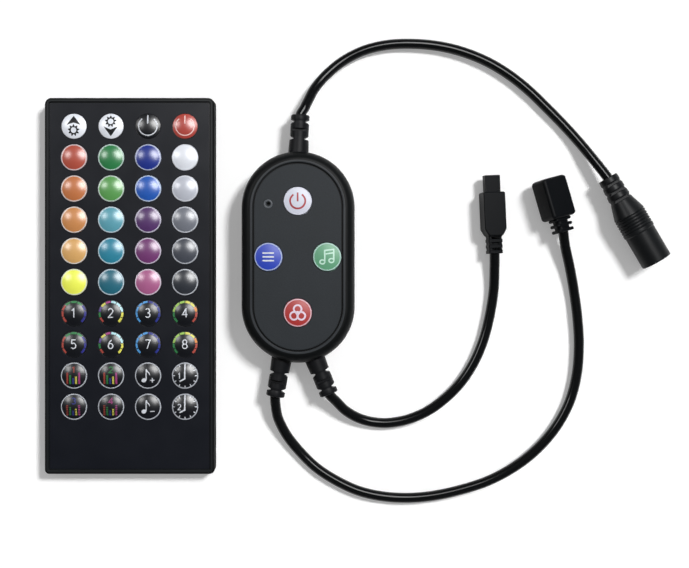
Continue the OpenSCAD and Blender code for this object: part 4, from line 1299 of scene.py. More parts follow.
@dataclass
class Handset(Housing):
    """The remote handset: its shells, its keys, its board and its battery drawer."""

    node = "handset_front_shell"
    corners: Vec2 = (2.2, 1.5)
    panel_corners: Vec2 = (0.8, 0.5)
    wall: float = 1.3
    outer_edge: float = 0.6
    inner_edge: float = 0.15
    seam: float = 0.12
    panel_drop: float = 0.4
    panel_depth: float = 0.8
    panel_edge: float = 0.08
    opening_edge: float = 0.06
    groove: Vec2 = (0.35, 0.35)
    ledge: float = 0.6
    lip_drop: float = 0.9
    key_lip: float = 0.35
    key_gap: float = 0.1
    key_ring: float = 0.37
    key_dome: float = 0.8
    key_flange: float = 0.35
    key_nub: Vec2 = (1.5, 0.25)
    window_radius: float = 1.6
    cell_play: float = 0.2
    snap_dome: float = 1.4
    side_bands: int = 6
    corner_steps: int = 10

    def __post_init__(self) -> None:
        """Reads the handset's place from the frame and sets out its keys."""
        super().__post_init__()
        self.panel_top = self.high.z - self.panel_drop
        self.styles = top_keys()
        bare = dict.fromkeys(self.styles, 0.0)
        self.styles |= {name: KeyStyle(shade) for name, shade in PLAIN_KEYS.items()} | effect_keys()
        sizes = (self.key_dome, self.key_flange, self.key_nub)
        self.keys = [
            Cap(name, self.key_lip, bare.get(name, self.key_ring), *sizes) for name in self.styles
        ]

    def make_rim(self) -> None:
        """Builds the rim, the groove inside it and the ledge under the panel."""
        top, split = self.high.z, self.low.z
        floor = self.panel_top - self.groove[1]
        inner = self.wall + self.groove[0] + self.ledge
        profile = fillet([
            (0, split + self.seam), (0, top, self.outer_edge), (self.wall, top, self.inner_edge),
            (self.wall, floor), (inner, floor), (inner, floor - self.ledge / 2),
            (self.wall, floor - self.ledge / 2), (self.wall, split + self.lip_drop),
            (self.wall / 2, split + self.lip_drop), (self.wall / 2, split), (self.seam, split),
        ], 5, closed=True)
        # The outer wall and its rounding take the darker side finish, which is painted shade
        tones = [int(band < self.side_bands) for band in range(len(profile))]
        draft = Draft()
        draft.sweep(profile, self.width, self.length, self.corners, self.corner_steps, tones)
        rim = draft.build("handset_rim", [HANDSET_PLASTIC, HANDSET_SIDE_PAINTED_SHADE], self.place)
        window = Draft()
        window.cylinder(self.window_radius, (0, 0, -self.wall), 3 * self.wall)
        carve(rim, window, lying((self.middle.x, self.high.y - self.wall, split), 90))
        fit_out(rim, "handset", "handset_shell", self.node)

    def make_panel(self) -> None:
        """Builds the panel with an opening for every key."""
        inset = self.wall + self.groove[0]
        width, length = self.width - 2 * inset, self.length - 2 * inset
        low, radius = self.panel_top - self.panel_depth, self.panel_corners
        rows = self.eased(low, self.panel_top, self.panel_edge)
        draft = Draft()
        draft.loft([(z, width - 2 * inset, length - 2 * inset, radius) for z, inset in rows])
        panel = draft.build("handset_panel", [PANEL_FILM], self.place)
        holes = [(key.centre, key.radius + self.key_gap) for key in self.keys]
        carve(panel, self.openings(holes, low, self.panel_depth))
        soften(panel, self.opening_edge)
        fit_out(panel, "handset", "handset_panel")

    def make_keys(self) -> None:
        """Builds the forty keys and prints their marks."""
        slots = {row["node"]: row["material_slot"] for row in FRAME["record"]["subparts"]}
        for key in self.keys:
            style = self.styles[key.node]
            dome = Lacquered(key.node + "_dome", style.shade, coat=style.gloss)
            key.make(dome, style.ring() if style.ringed else dome, slots[key.node])
            key.mark(style.prints, "key_print")

    def dress_inside(self) -> None:
        """Gives the frame's own nodes of the handset their finishes."""
        contact = box_mm("coin_cell")[1].z + self.cell_play
        plate = box_mm("handset_board")[1].z - self.snap_dome
        # The back shell and the drawer take the darker side finish, which is painted shade
        dress("handset_back_shell", HANDSET_SIDE_PAINTED_SHADE)
        dress("battery_drawer", HANDSET_SIDE_PAINTED_SHADE)
        dress("coin_cell", CELL_STEEL)
        dress("handset_board", Populated("handset_board", SOLDER_MASK, (190, 186, 176), contact, plate))

    def make(self) -> None:
        """Builds and dresses the whole handset."""
        self.make_rim()
        self.make_panel()
        self.make_keys()
        self.dress_inside()


@dataclass
class ControlBox(Housing):
    """The in-line control box: its cover, base, buttons and board."""

    node = "controller_cover"
    wall: float = 1.6
    shoulder: float = 3.1
    shoulder_low: float = 8.6
    ridge: float = 0.78
    ridge_edge: float = 0.18
    ridge_bands: int = 5
    groove_width: float = 0.54
    groove_drop: float = 0.3
    face_drop: float = 0.5
    face_depth: float = 1.4
    face_edge: float = 0.12
    opening_edge: float = 0.08
    seam: float = 0.12
    lip: float = 0.9
    button_lip: float = 0.65
    button_gap: float = 0.22
    button_ring: float = 0.42
    button_dome: float = 0.35
    button_flange: float = 0.6
    button_stem: Vec2 = (2.0, 0.75)
    button_edge: float = 0.2
    mic: Vec2 = (-9.8, 17.5)
    mic_hole: float = 0.55
    mic_dish: Vec2 = (0.8, 0.45)
    mic_ring: Vec2 = (1.55, 0.16)
    mic_crown: float = 0.45
    board_foot: float = 1.0
    board_top: float = 1.25
    steps: int = 32

    def __post_init__(self) -> None:
        """Reads the box's place from the frame and sets out its top."""
        super().__post_init__()
        self.face_top = self.high.z - self.face_drop
        self.ridge_in = self.shoulder + self.ridge
        self.face_in = self.ridge_in + self.groove_width

    def make_shell(self, ways: Sequence[Matrix], way_radius: float) -> None:
        """Builds the cover's side, ridge and groove.

        Args:
            ways: Places of the cords' ways through the wall.
            way_radius: Their radius.
        """
        split, top = self.low.z, self.high.z
        floor = self.face_top - self.groove_drop
        inner = self.face_in + self.ridge
        radii = (self.shoulder, top - self.shoulder_low)
        turned = arc((self.shoulder, self.shoulder_low), radii, 180, 90, 12)
        outer = [(0, split + self.seam), *map(tuple, turned)]
        rest = fillet([
            outer[-1], (self.ridge_in, top, self.ridge_edge), (self.ridge_in, floor), (inner, floor),
            (inner, floor - self.wall / 2), (self.ridge_in, floor - self.wall / 2),
            (self.wall, self.shoulder_low), (self.wall, split + self.lip),
            (self.wall / 2, split + self.lip), (self.wall / 2, split), (self.seam, split),
        ])
        profile = outer + rest[1:]
        first = len(outer) - 1
        # The ridge's top bands take the lighter ridge finish, which is painted light
        tones = [int(first <= band < first + self.ridge_bands) for band in range(len(profile))]
        draft = Draft()
        draft.sweep(profile, self.width, self.length, self.width / 2, self.steps, tones)
        shell = draft.build("cover_shell", [BOX_PLASTIC, BOX_RIDGE_PAINTED_LIGHT], self.place)
        cutter = Draft()
        cutter.cylinder(way_radius, (0, 0, -2 * self.wall), 3 * self.wall)
        for way in ways:
            carve(shell, cutter, way)
        fit_out(shell, "controller", "box_shell", self.node)

    def make_face(self, buttons: Sequence[Cap]) -> None:
        """Builds the recessed face with the buttons' openings and the microphone's hole.

        Args:
            buttons: The four buttons.
        """
        width, length = self.width - 2 * self.face_in, self.length - 2 * self.face_in
        top, low = self.face_top, self.face_top - self.face_depth
        rows = self.eased(low, top, self.face_edge)
        draft = Draft()
        draft.loft(
            [(z, width - 2 * inset, length - 2 * inset, width / 2 - inset) for z, inset in rows],
            self.steps,
        )
        face = draft.build("cover_face", [BOX_FACE], self.place)
        x, y = self.middle.x + self.mic[0], self.middle.y + self.mic[1]
        holes = [(button.centre, button.radius + self.button_gap) for button in buttons]
        carve(face, self.openings([*holes, ((x, y), self.mic_hole)], low, self.face_depth))
        wide, deep = self.mic_dish
        dish = Draft()
        dish.cylinder(wide, (x, y, top - deep), 2 * deep)
        carve(face, dish)
        soften(face, self.opening_edge)
        fit_out(face, "controller", "box_face")
        outer, rise = self.mic_ring
        crown = (outer - wide) * self.mic_crown
        # The raised ring is real; its lighter finish is painted light on its slopes
        ring = Draft()
        ring.revolve(fillet([
            (wide, top - deep), (outer, top - deep), (outer, top + rise, crown),
            (wide, top + rise, crown), (wide, top - deep),
        ]), spot=(x, y, 0))
        fit_out(ring.build("mic_ring", [MIC_RING_PAINTED_LIGHT]), "controller", "box_face")

    def make_buttons(self) -> list[Cap]:
        """Builds the four buttons and prints their marks.

        Returns:
            The buttons' caps.
        """
        caps = []
        sizes = (self.button_dome, self.button_flange, self.button_stem, self.button_edge)
        for node, look in button_looks().items():
            cap = Cap(node, self.button_lip, self.button_ring, *sizes)
            cap.make(*look.finishes(), look.slot)
            cap.mark(look.prints, look.slot)
            caps.append(cap)
        return caps

    def make(self, ways: Sequence[Matrix], way_radius: float) -> None:
        """Builds and dresses the whole box.

        Args:
            ways: Places of the cords' ways through the wall.
            way_radius: Their radius.
        """
        self.make_shell(ways, way_radius)
        self.make_face(self.make_buttons())
        dress("controller_base", BOX_PLASTIC)
        low = box_mm("controller_board")[0].z
        plate = (low - self.board_foot, low + self.board_top)
        dress("controller_board", Populated("box_board", SOLDER_MASK, (46, 47, 48), *plate))


# Glands and connectors


def notches(wedges: Sequence[Vec3], core: float, bottom: float = 0.15) -> list[Vec2]:
    """Gives how far a sleeve reaches along its axis, where wedges are cut into it.

    Args:
        wedges: Heights of each wedge's lower lip, bottom and upper lip.
        core: How far the sleeve reaches at the bottoms.
        bottom: Half of a bottom's width.

    Returns:
        Height and reach, in order.
    """
    free, rise, step = Draft.FREE, 1.6, 0.01
    rows = [(-free, free)]
    for low, middle, high in wedges:
        rows += [
            (low - step, free), (low, core + rise), (middle - bottom, core),
            (middle + bottom, core), (high, core + rise), (high + step, free),
        ]
    return rows + [(free, free)]


@dataclass
class Glands:
    """The three cable glands in the box's ends."""

    box_centre: Vec2 = (33.05, 9.6)
    box_size: Vec2 = (37.7, 70.4)
    axis_z: float = 6.2
    spread: float = 5.65
    leans: Vec3 = (3.0, 10.0, 22.0)
    stand: float = 0.3
    collar_radii: Vec2 = (3.45, 3.25)
    collar_length: float = 3.9
    ribbed: Vec2 = (3.1, 5.1)
    end_length: float = 1.9
    end_edge: float = 0.55
    slot: float = 0.65
    slot_dip: float = 0.12
    slot_run: float = 0.35
    core: float = 1.75
    short_lip: float = 0.5
    long_lip: float = 0.95
    mid_slot: float = 0.5
    mid_bottom: float = 0.35
    buried: float = 0.6
    neck: float = 2.4
    way_play: float = 0.05
    lock: Vec3 = (3.5, 1.2, 0.95)
    lock_edge: float = 0.2
    wall: float = 1.6

    def __post_init__(self) -> None:
        """Sets out the glands' stations, directions and places."""
        self.collar_end = self.stand + self.collar_length
        self.length = self.collar_end + self.ribbed[1] + self.end_length + 2 * self.slot
        self.headings = (90 - self.leans[0], 270 - self.leans[1], 270 + self.leans[2])
        half, radius = self.box_size[1] / 2, self.box_size[0] / 2
        side = half - radius + math.sqrt(radius**2 - self.spread**2)
        x, y = self.box_centre
        self.spots = [
            (x, y + half, self.axis_z),
            (x - self.spread, y - side, self.axis_z),
            (x + self.spread, y - side, self.axis_z),
        ]
        self.places = [lying(spot, heading) for spot, heading in zip(self.spots, self.headings)]

    def mouth(self, index: int) -> Vec3:
        """Gives where a gland's cord leaves it.

        Args:
            index: Which gland.

        Returns:
            The middle of its mouth.
        """
        way = math.radians(self.headings[index])
        x, y, z = self.spots[index]
        return (x + self.length * math.cos(way), y + self.length * math.sin(way), z)

    def profile(self) -> list[Vec2]:
        """Gives a gland's outline.

        Returns:
            Radius and height of each point.
        """
        lock_r, lock_t, lock_gap = self.lock
        low = -self.wall - lock_gap
        r, (wide, narrow) = self.ribbed[0], self.collar_radii
        dip, run = self.slot_dip, self.slot_run
        ribbed_start = self.collar_end + self.slot
        ribbed_end = ribbed_start + self.ribbed[1]
        return fillet([
            (0, low - lock_t), (lock_r, low - lock_t, self.lock_edge), (lock_r, low, self.lock_edge),
            (self.neck, low), (self.neck, -self.buried), (wide, -self.buried),
            (narrow, self.collar_end - run), (narrow - dip, self.collar_end + self.slot / 2),
            (r, ribbed_start + run), (r, ribbed_end - run), (r - dip, ribbed_end + self.slot / 2),
            (r, ribbed_end + self.slot + run), (r, self.length, self.end_edge), (0, self.length),
        ], 5)

    def make(self) -> None:
        """Builds the three glands, which stand for one node."""
        first = self.collar_end + self.slot / 2
        last = self.collar_end + self.slot * 1.5 + self.ribbed[1]
        middle = (first + last) / 2
        sides = notches([
            (first - self.short_lip, first, first + self.long_lip),
            (last - self.long_lip, last, last + self.short_lip),
        ], self.core)
        faces = notches(
            [(middle - self.mid_slot, middle, middle + self.mid_slot)], self.core, self.mid_bottom
        )
        draft = Draft()
        draft.sleeve(self.profile(), sides, faces)
        for i, place in enumerate(self.places):
            piece = draft.build(f"gland_{i + 1}", [GLAND_RUBBER], place)
            replaced = [] if i else ["cable_glands"]
            fit_out(piece, "controller", "gland_rubber", *replaced)


@dataclass
class Connector:
    """What a lead ends on, drawn upwards from its cord and then laid on its side."""

    node: ClassVar[str]
    finish: ClassVar[Finish] = CONNECTOR_PLASTIC
    spot: Vec3
    heading: float
    roll: float = 0.0
    opening_edge: float = 0.08

    def solid(self) -> Draft:
        """Draws the connector's outer form."""
        raise NotImplementedError

    def cuts(self) -> Draft:
        """Draws what is cut out of it, by default nothing."""
        return Draft()

    def make(self) -> bpy.types.Object:
        """Builds the connector.

        Returns:
            The new piece.
        """
        place = lying(self.spot, self.heading, self.roll)
        piece = self.solid().build(self.node + "_body", [self.finish], place)
        cuts = self.cuts()
        if cuts.faces:
            carve(piece, cuts, place)
            soften(piece, self.opening_edge, 1)
        return fit_out(piece, "controller", "connector_plastic", self.node)


@dataclass
class PowerSocket(Connector):
    """The round socket at the end of the power lead."""

    node = "power_socket"
    finish = JACK_PLASTIC
    spot: Vec3 = (136.9, 36.3, 5.5)
    heading: float = -59.6
    barrel: Vec2 = (5.2, 11.3)
    barrel_edge: float = 0.1
    grip: Vec2 = (5.45, 7.0)
    grip_start: Vec3 = (-0.02, -0.1, 0.6)
    grip_end: Vec2 = (0.3, 0.2)
    cone_length: float = 5.2
    relief_radii: Vec2 = (3.3, 3.85)
    relief_length: float = 9.0
    relief_edge: float = 0.25
    slots: int = 3
    slot_pitch: float = 2.9
    slot_width: float = 0.8
    slot_reach: float = 2.4
    slot_lip: float = 0.45
    slot_bottom: float = 0.36
    waist: float = 0.35
    waist_edges: Vec3 = (0.5, 0.35, 0.2)
    waist_rise: float = 0.7
    grooves: int = 6
    groove_start: float = 0.3
    groove_pitch: float = 1.02
    groove_dip: float = 0.32
    groove_half: float = 0.24
    groove_edge: float = 0.06
    bore: Vec2 = (2.9, 9.6)
    mouth_edges: Vec2 = (0.3, 0.15)

    def slot_middle(self, index: int) -> float:
        """Height of the middle of one of the relief's slots."""
        return (index + 1) * self.slot_pitch - self.slot_width / 2

    def profile(self) -> list[Vec2]:
        """Gives the outline, down to the bottom of the bore.

        Returns:
            Radius and height of each point.
        """
        low, high = self.relief_radii
        grip_z = self.relief_length + self.cone_length
        barrel_z = grip_z + self.grip[1]
        end = barrel_z + self.barrel[1]
        before, across, after = self.waist_edges
        corners: list[tuple[float, ...]] = [(0, 0), (low, 0, self.relief_edge)]
        for i in range(self.slots):
            z = self.slot_middle(i)
            r = low + (high - low) * z / self.relief_length
            corners += [
                (r, z - self.slot_width, before), (r - self.waist, z, across),
                (r, z + self.slot_width * self.waist_rise, after),
            ]
        r, half, edge = self.grip[0], self.groove_half, self.groove_edge
        corners.append((r + self.grip_start[0], grip_z + self.grip_start[1], self.grip_start[2]))
        for i in range(self.grooves):
            z = grip_z + self.groove_start + i * self.groove_pitch
            corners += [(r, z - half, edge), (r - self.groove_dip, z, edge), (r, z + half, edge)]
        barrel_r, bore_r, floor = self.barrel[0], self.bore[0], end - self.bore[1]
        corners += [
            (r, barrel_z - self.grip_end[0], self.grip_end[1]), (barrel_r, barrel_z, self.barrel_edge),
            (barrel_r, end, self.mouth_edges[0]), (bore_r, end, self.mouth_edges[1]),
            (bore_r, floor), (0, floor),
        ]
        return fillet(corners)

    def solid(self) -> Draft:
        """Draws the socket with the slots in its strain relief.

        Returns:
            The solid.
        """
        middles, lip = [self.slot_middle(i) for i in range(self.slots)], self.slot_lip
        slots = notches([(z - lip, z, z + lip) for z in middles], self.slot_reach, self.slot_bottom)
        draft = Draft()
        draft.sleeve(self.profile(), [], slots)
        return draft


@dataclass
class StripPlug(Connector):
    """The flat plug with a four-hole nose."""

    node = "strip_plug"
    spot: Vec3 = (99.1, 10.9, 3.763)
    heading: float = 92.5
    roll: float = 10.0
    body: Vec3 = (6.2, 7.6, 12.5)
    nose: Vec3 = (3.1, 5.3, 5.7)
    nose_edge: float = 0.25
    relief: Vec3 = (4.5, 4.9, 6.0)
    relief_edge: float = 0.6
    taper: float = 2.2
    edge: float = 0.5
    windows: int = 3
    window_start: float = 1.1
    window_pitch: float = 1.9
    window: Vec2 = (2.7, 0.7)
    window_reach: float = 1.3
    waist: float = 0.3
    holes: int = 4
    hole: float = 0.6
    pitch: float = 1.2

    def __post_init__(self) -> None:
        """Sets out the heights of the body's foot, the nose's foot and its tip."""
        self.body_z = self.relief[2] + self.taper
        self.nose_z = self.body_z + self.body[2]
        self.tip = self.nose_z + self.nose[2]

    def relief_sections(self) -> list[Section]:
        """Gives the strain relief's form, waisted at its windows.

        Returns:
            Its sections, from the cord on.
        """
        down, across, run = self.relief
        chamfer, edge, dip = 0.15, self.relief_edge, self.waist
        rows = [(0, down - 2 * chamfer, across - 2 * chamfer, 0.5), (chamfer, down, across, edge)]
        for k in range(self.windows):
            low = self.window_start + k * self.window_pitch
            high = low + self.window[1]
            rows += [
                (low - dip / 2, down, across, edge), (low, down - dip, across - dip, edge),
                (high, down - dip, across - dip, edge), (high + dip / 2, down, across, edge),
            ]
        return [*rows, (run, down, across, edge)]

    def solid(self) -> Draft:
        """Draws the plug without its openings.

        Returns:
            The solid.
        """
        down, across = self.body[:2]
        neck, neck_z = self.relief[1:]
        nose_down, nose_across = self.nose[:2]
        body_z, nose_z, tip = self.body_z, self.nose_z, self.tip
        edge, fine, chamfer = self.edge, self.nose_edge, 0.12
        foot_less, foot_more, foot_edge, rise, spread, ease = 0.6, 0.1, 0.4, 0.3, 0.5, 0.15
        brow_share, brow_less, front_less = 0.4, 0.2, 0.8
        draft = Draft()
        draft.loft([
            *self.relief_sections(),
            (neck_z, down - foot_less, neck + foot_more, foot_edge),
            (neck_z + rise, down, neck + spread, edge),
            (body_z - ease, down, across - ease, edge), (body_z + rise, down, across, edge),
            (nose_z - edge, down, across, edge),
            (nose_z - edge * brow_share, down - brow_less, across - brow_less, edge),
            (nose_z, down - front_less, across - front_less, edge),
            (nose_z, nose_down, nose_across, fine), (tip - chamfer, nose_down, nose_across, fine),
            (tip, nose_down - 2 * chamfer, nose_across - 2 * chamfer, 0.15),
        ])
        return draft

    def cuts(self) -> Draft:
        """Draws the nose's holes and the strain relief's windows.

        Returns:
            The cutters.
        """
        floor, over = self.nose_z + 0.3, 1.0
        cuts, half = Draft(), self.hole / 2
        for k in range(self.holes):
            y = (k - (self.holes - 1) / 2) * self.pitch
            cuts.box((-half, y - half, floor), (half, y + half, self.tip + over))
        wide, thick = self.window
        for k in range(self.windows):
            z = self.window_start + k * self.window_pitch
            for side in (-1, 1):
                low, high = sorted((side * self.window_reach, side * self.body[0]))
                cuts.box((low, -wide / 2, z), (high, wide / 2, z + thick))
        return cuts


@dataclass
class StripSocket(Connector):
    """The block with a mouth that takes a strip's plug."""

    node = "strip_socket"
    spot: Vec3 = (122.0, 18.1, 5.378)
    heading: float = 106.2
    roll: float = 26.0
    block: Vec3 = (8.0, 9.6, 13.9)
    mouth: Vec3 = (3.4, 5.6, 5.85)
    mouth_chamfer: float = 0.2
    mouth_edges: Vec2 = (0.3, 0.2)
    relief: Vec3 = (5.2, 6.6, 4.8)
    core: Vec3 = (4.0, 4.8, 1.5)
    edge: float = 1.1
    ridges: int = 3
    ridge_pitch: float = 1.9
    ridge_thickness: float = 1.1
    ridge_crown: float = 1.2

    def relief_sections(self) -> list[Section]:
        """Gives the form of the ridged strain relief.

        Returns:
            Its sections, from the cord on.
        """
        down, across, end = self.relief
        half, crown = self.ridge_thickness / 2, self.ridge_crown
        rows = []
        for k in range(self.ridges):
            middle = k * self.ridge_pitch + half
            for inset, z in arc((half, middle), (half, half), 270, 90, 8):
                rows.append((z, down - crown * inset, across - crown * inset, self.edge))
            rows += [(middle + half, *self.core), (middle + self.ridge_pitch - half, *self.core)]
        rows[-1] = (end, *self.core)
        return rows

    def solid(self) -> Draft:
        """Draws the socket down to the bottom of its mouth.

        Returns:
            The solid.
        """
        rows, edge = self.relief_sections(), self.edge
        down, across, run = self.block
        start, end = self.relief[2], self.relief[2] + run
        for middle, first, last in ((start + edge, 270, 180), (end - edge, 180, 90)):
            for inset, z in arc((edge, middle), (edge, edge), first, last, 6):
                rows.append((z, down - 2 * inset, across - 2 * inset, edge))
        mouth_down, mouth_across, depth = self.mouth
        lip, (outer, inner) = self.mouth_chamfer, self.mouth_edges
        rows += [
            (end, mouth_down + lip, mouth_across + lip, outer),
            (end - lip, mouth_down, mouth_across, inner), (end - depth, mouth_down, mouth_across, inner),
        ]
        draft = Draft()
        draft.loft(rows)
        return draft


# Cords


@dataclass(frozen=True)
class Cord:
    """A free cord on its route from a gland to its connector."""

    node: str
    start: Vec3
    start_heading: float
    route: Sequence[Vec3]
    end: Vec3
    end_heading: float
    length: float
    ends_on: Sequence[bpy.types.Object]
    diameter: float = 3.4
    end_pull: float = 0.4
    steps: int = 8
    sides: int = 24

    def end_ways(self) -> list[tuple[int, np.ndarray]]:
        """Gives the cord's directions at its start and at its end."""
        turns = [math.radians(heading) for heading in (self.start_heading, self.end_heading)]
        return [(at, np.array([math.cos(a), math.sin(a), 0])) for at, a in zip((0, -1), turns)]

    def path(self) -> np.ndarray:
        """Gives the smooth line through the route.

        Returns:
            One row of three coordinates for each point.
        """
        knots = np.array([self.start, *self.route, self.end])
        ways = np.gradient(knots, axis=0)
        spans = np.linalg.norm(np.diff(knots, axis=0), axis=1)
        for at, way in self.end_ways():
            ways[at] = way * spans[at] * self.end_pull
        points = [knots[0]]
        for i in range(len(knots) - 1):
            for t in np.linspace(0, 1, self.steps + 1)[1:]:
                points.append(
                    (2 * t**3 - 3 * t**2 + 1) * knots[i] + (t**3 - 2 * t**2 + t) * ways[i]
                    + (3 * t**2 - 2 * t**3) * knots[i + 1] + (t**3 - t**2) * ways[i + 1]
                )
        return np.array(points)

    def make(self) -> bpy.types.Object:
        """Returns:
            The cord.
        """
        path = self.path()
        ways = np.gradient(path, axis=0)
        for at, way in self.end_ways():
            ways[at] = way
        ways /= np.linalg.norm(ways, axis=1, keepdims=True)
        turn = np.linspace(0, 2 * math.pi, self.sides, endpoint=False)[:, None]
        rows = []
        for centre, way in zip(path, ways):
            level = np.cross(way, (0, 0, 1))
            level /= np.linalg.norm(level)
            up = np.cross(level, way)
            rows.append(centre + (np.cos(turn) * level + np.sin(turn) * up) * self.diameter / 2)
        draft = Draft()
        draft.sheet(np.array(rows), lids=True)
        cord = draft.build(self.node + "_cord", [CORD_JACKET])
        fit_out(cord, "controller", "cord_jacket", self.node)
        measured = float(np.linalg.norm(np.diff(path, axis=0), axis=1).sum())
        LOG.info("%s is %.1f mm long", cord.name, measured)
        [v * MM for v in self.start]
        self.diameter * MM
        list(self.ends_on)
        return cord


@dataclass
class Leads:
    """The box's three leads, each a cord from its gland to its connector."""

    glands: Glands
    low: float = 1.8
    power_length: float = 132.7
    inner_length: float = 99.1
    outer_length: float = 189.1

    def lay(
        self,
        node: str,
        gland: int,
        route: Sequence[Vec3],
        connector: Connector,
        length: float,
        *contacts: bpy.types.Object,
    ) -> None:
        """Builds a connector and the cord that leads to it.

        Args:
            node: The cord's frame node.
            gland: Which gland it leaves.
            route: Points that it passes.
            connector: What it ends on.
            length: The cord's free length.
            contacts: The frame's metal pieces in the connector.
        """
        start, way = self.glands.mouth(gland), self.glands.headings[gland]
        ends_on = [connector.make(), *contacts]
        Cord(node, start, way, route, connector.spot, connector.heading, length, ends_on).make()

    def make(self) -> None:
        """Builds the three leads on their routes in the photograph."""
        low = self.low
        self.lay("power_lead", 0, [
            (35.1, 59.8, 5.8), (36.2, 62.2, 5), (38.5, 66.7, 3.4),
            (42.4, 71.5, 2.2), (48.2, 76.3, low),
            (55.5, 79.9, low), (63.5, 81.7, low), (72, 82, low), (80.6, 81.2, low),
            (88.8, 79.2, low), (96.7, 76, low), (104.1, 71.6, low), (110.8, 66.3, low),
            (116.8, 60.5, low), (122.5, 54.7, low), (127.5, 49, 2.4), (131.9, 43.2, 4),
        ], PowerSocket(), self.power_length, FRAME["nodes"]["lead_contacts"])
        self.lay("strip_lead_inner", 2, [
            (45.7, -38.8, 5), (48.8, -42, 3.6), (53, -44.6, 2.4), (58, -46.1, low),
            (63.5, -46.4, low), (70, -45.2, low), (76.6, -42.4, low), (82.6, -38.1, low),
            (87.9, -32.7, low), (92.3, -26, low), (95.6, -18.2, low), (97.7, -10, low),
            (99, -1.6, 2), (99.2, 5.5, 2.8),
        ], StripPlug(), self.inner_length)
        self.lay("strip_lead_outer", 1, [
            (25.5, -41.5, 5), (26.4, -45.4, 3.6), (29.2, -50.9, 2.3), (33.6, -56.4, low),
            (39, -61.6, low), (45.6, -65.9, low), (53.2, -69.4, low), (61.5, -71.3, low),
            (70.5, -71.8, low), (79.6, -70.9, low), (88.8, -68.8, low), (97.7, -65.8, low),
            (106.2, -61.2, low), (113.8, -55.2, low), (120.2, -47.7, low), (124.8, -39.1, low),
            (127.2, -29.8, low), (127.9, -20.2, low), (127.4, -10.8, low), (126.2, -1.6, low),
            (124.7, 6.1, 2.6), (122.9, 13.3, 4),
        ], StripSocket(), self.outer_length)


# Studio


@dataclass(frozen=True)
class SoftBox:
    """A rectangular studio light that shows in glossy surfaces and lights nothing else."""

    name: str
    spot: Vec3
    size: Vec2
    watts: float

    def make(self, target: Vec3) -> None:
        """Hangs the light.

        Args:
            target: The point that it faces.
        """
        data = bpy.data.lights.new(self.name, "AREA")
        data.shape = "RECTANGLE"
        data.size, data.size_y = (side * MM for side in self.size)
        data.energy = self.watts
        lamp = bpy.data.objects.new(self.name, data)
        lamp.location = Vector(self.spot) * MM
        lamp.rotation_euler = (Vector(target) - Vector(self.spot)).to_track_quat("-Z", "Y").to_euler()
        lamp.visible_diffuse = False
        bpy.context.scene.collection.objects.link(lamp)


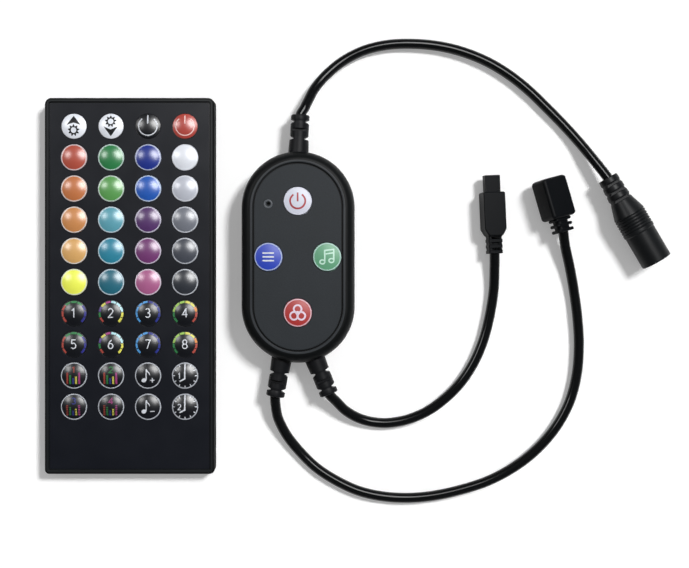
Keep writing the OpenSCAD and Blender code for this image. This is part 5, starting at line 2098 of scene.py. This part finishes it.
@dataclass
class Studio:
    """A white floor, soft lights and a camera straight above the set."""

    centre: Vec2 = (48.5, 0.65)
    focus_z: float = 7.0
    distance: float = 420.0
    view_width: float = 230.6
    sensor: float = 36.0
    nearest: float = 10.0
    farthest: float = 20000.0
    sun_way: Vec3 = (4.2, 3.3, 7.0)
    sun_strength: float = 3.1
    sun_degrees: float = 12.0
    softboxes: tuple[SoftBox, ...] = (
        SoftBox("softbox_right", (162.0, 215.0, 560.0), (306.0, 230.0), 3.4),
        SoftBox("softbox_left", (-425.0, 226.0, 560.0), (190.0, 200.0), 1.5),
    )
    softbox_target: Vec3 = (-23.5, 30.0, 7.0)
    ambient: float = 0.25
    horizon: float = 0.3
    ceiling: float = 0.03
    fade_heights: Vec2 = (0.05, 0.6)
    floor_white: float = 0.8
    floor_glow: float = 0.24
    floor_half: float = 3000.0

    def hang_camera(self) -> None:
        """Sets the camera at the photograph's viewing angle."""
        data = bpy.data.cameras.new("camera")
        data.sensor_width = self.sensor
        data.lens = self.sensor * self.distance / self.view_width
        data.clip_start = self.nearest * MM
        data.clip_end = self.farthest * MM
        camera = bpy.data.objects.new("camera", data)
        camera.location = (self.centre[0] * MM, self.centre[1] * MM, (self.focus_z + self.distance) * MM)
        bpy.context.scene.collection.objects.link(camera)
        bpy.context.scene.camera = camera

    def hang_lights(self) -> None:
        """Hangs the sun and two softboxes."""
        data = bpy.data.lights.new("sun", "SUN")
        data.energy = self.sun_strength
        data.angle = math.radians(self.sun_degrees)
        sun = bpy.data.objects.new("sun", data)
        sun.rotation_euler = Vector(self.sun_way).to_track_quat("Z", "Y").to_euler()
        sun.visible_glossy = False
        bpy.context.scene.collection.objects.link(sun)
        for softbox in self.softboxes:
            softbox.make(self.softbox_target)

    @staticmethod
    def seen(shader: Shader, *rays: str) -> Wire:
        """Gives a mask of the rays that see white.

        Args:
            shader: The shader that it is added to.
            rays: Light Path's outputs that count beside camera rays.

        Returns:
            The wire, 1 for those rays and 0 for the rest.
        """
        mask = shader.node("ShaderNodeLightPath", output="Is Camera Ray")
        for ray in rays:
            mask = mask | shader.node("ShaderNodeLightPath", output=ray)
        return mask

    def paint_world(self) -> None:
        """Makes a white surround with a dim ceiling."""
        world = bpy.data.worlds.new("surround")
        bpy.context.scene.world = world
        world.use_nodes = True
        shader = Shader(world.node_tree)
        seen = self.seen(shader, "Is Transmission Ray")
        glossy = shader.node("ShaderNodeLightPath", output="Is Glossy Ray")
        rise = shader.height(shader.node("ShaderNodeTexCoord", output="Generated"))
        steps = (rise, *self.fade_heights, self.horizon, self.ceiling)
        slope = shader.node("ShaderNodeMapRange", {"clamp": True}, dict(enumerate(steps)))
        dim = glossy * slope + (1 - glossy) * self.ambient
        strength = seen + (1 - seen) * dim
        sockets = {"Color": (1, 1, 1, 1), "Strength": strength}
        shader.close(shader.node("ShaderNodeBackground", None, sockets), "ShaderNodeOutputWorld")

    def lay_floor(self) -> None:
        """Lays a white floor that keeps the set's shadow."""
        material, shader = new_material("floor_white")
        seen = self.seen(shader, "Is Glossy Ray", "Is Transmission Ray")
        white = (self.floor_white,) * 3 + (1,)
        plain, lit = (shader.node("ShaderNodeBsdfDiffuse", None, {"Color": white}) for _ in range(2))
        glow = shader.node("ShaderNodeEmission", None, {"Strength": self.floor_glow})
        both = shader.node("ShaderNodeAddShader", None, {0: lit, 1: glow})
        shader.close(shader.node("ShaderNodeMixShader", None, {0: seen, 1: plain, 2: both}))
        half = self.floor_half
        draft = Draft()
        draft.sheet(np.array([[(-half, y, 0), (half, y, 0)] for y in (-half, half)], float), around=False)
        floor = draft.build("floor", [])
        floor.data.materials.append(material)

    def make(self) -> None:
        """Builds the studio round the set."""
        self.hang_lights()
        self.paint_world()
        self.lay_floor()
        bpy.context.scene.view_settings.view_transform = "Standard"


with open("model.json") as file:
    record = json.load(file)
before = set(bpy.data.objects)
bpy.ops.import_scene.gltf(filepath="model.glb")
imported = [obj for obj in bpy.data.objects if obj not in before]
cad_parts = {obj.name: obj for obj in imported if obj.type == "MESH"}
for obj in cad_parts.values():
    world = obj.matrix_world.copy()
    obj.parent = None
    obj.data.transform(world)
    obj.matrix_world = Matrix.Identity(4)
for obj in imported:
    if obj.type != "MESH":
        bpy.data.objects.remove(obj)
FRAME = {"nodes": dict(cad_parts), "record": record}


def main() -> None:
    """Builds the set's looks over the frame."""
    logging.basicConfig(level=logging.INFO, format="%(message)s")
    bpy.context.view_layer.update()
    studio = Studio()
    studio.hang_camera()
    glands = Glands()
    Leads(glands).make()
    Handset().make()
    ControlBox().make(glands.places, glands.neck + glands.way_play)
    glands.make()
    dress("lead_contacts", CONTACT_METAL)
    studio.make()


if __name__ == "__main__":
    main()
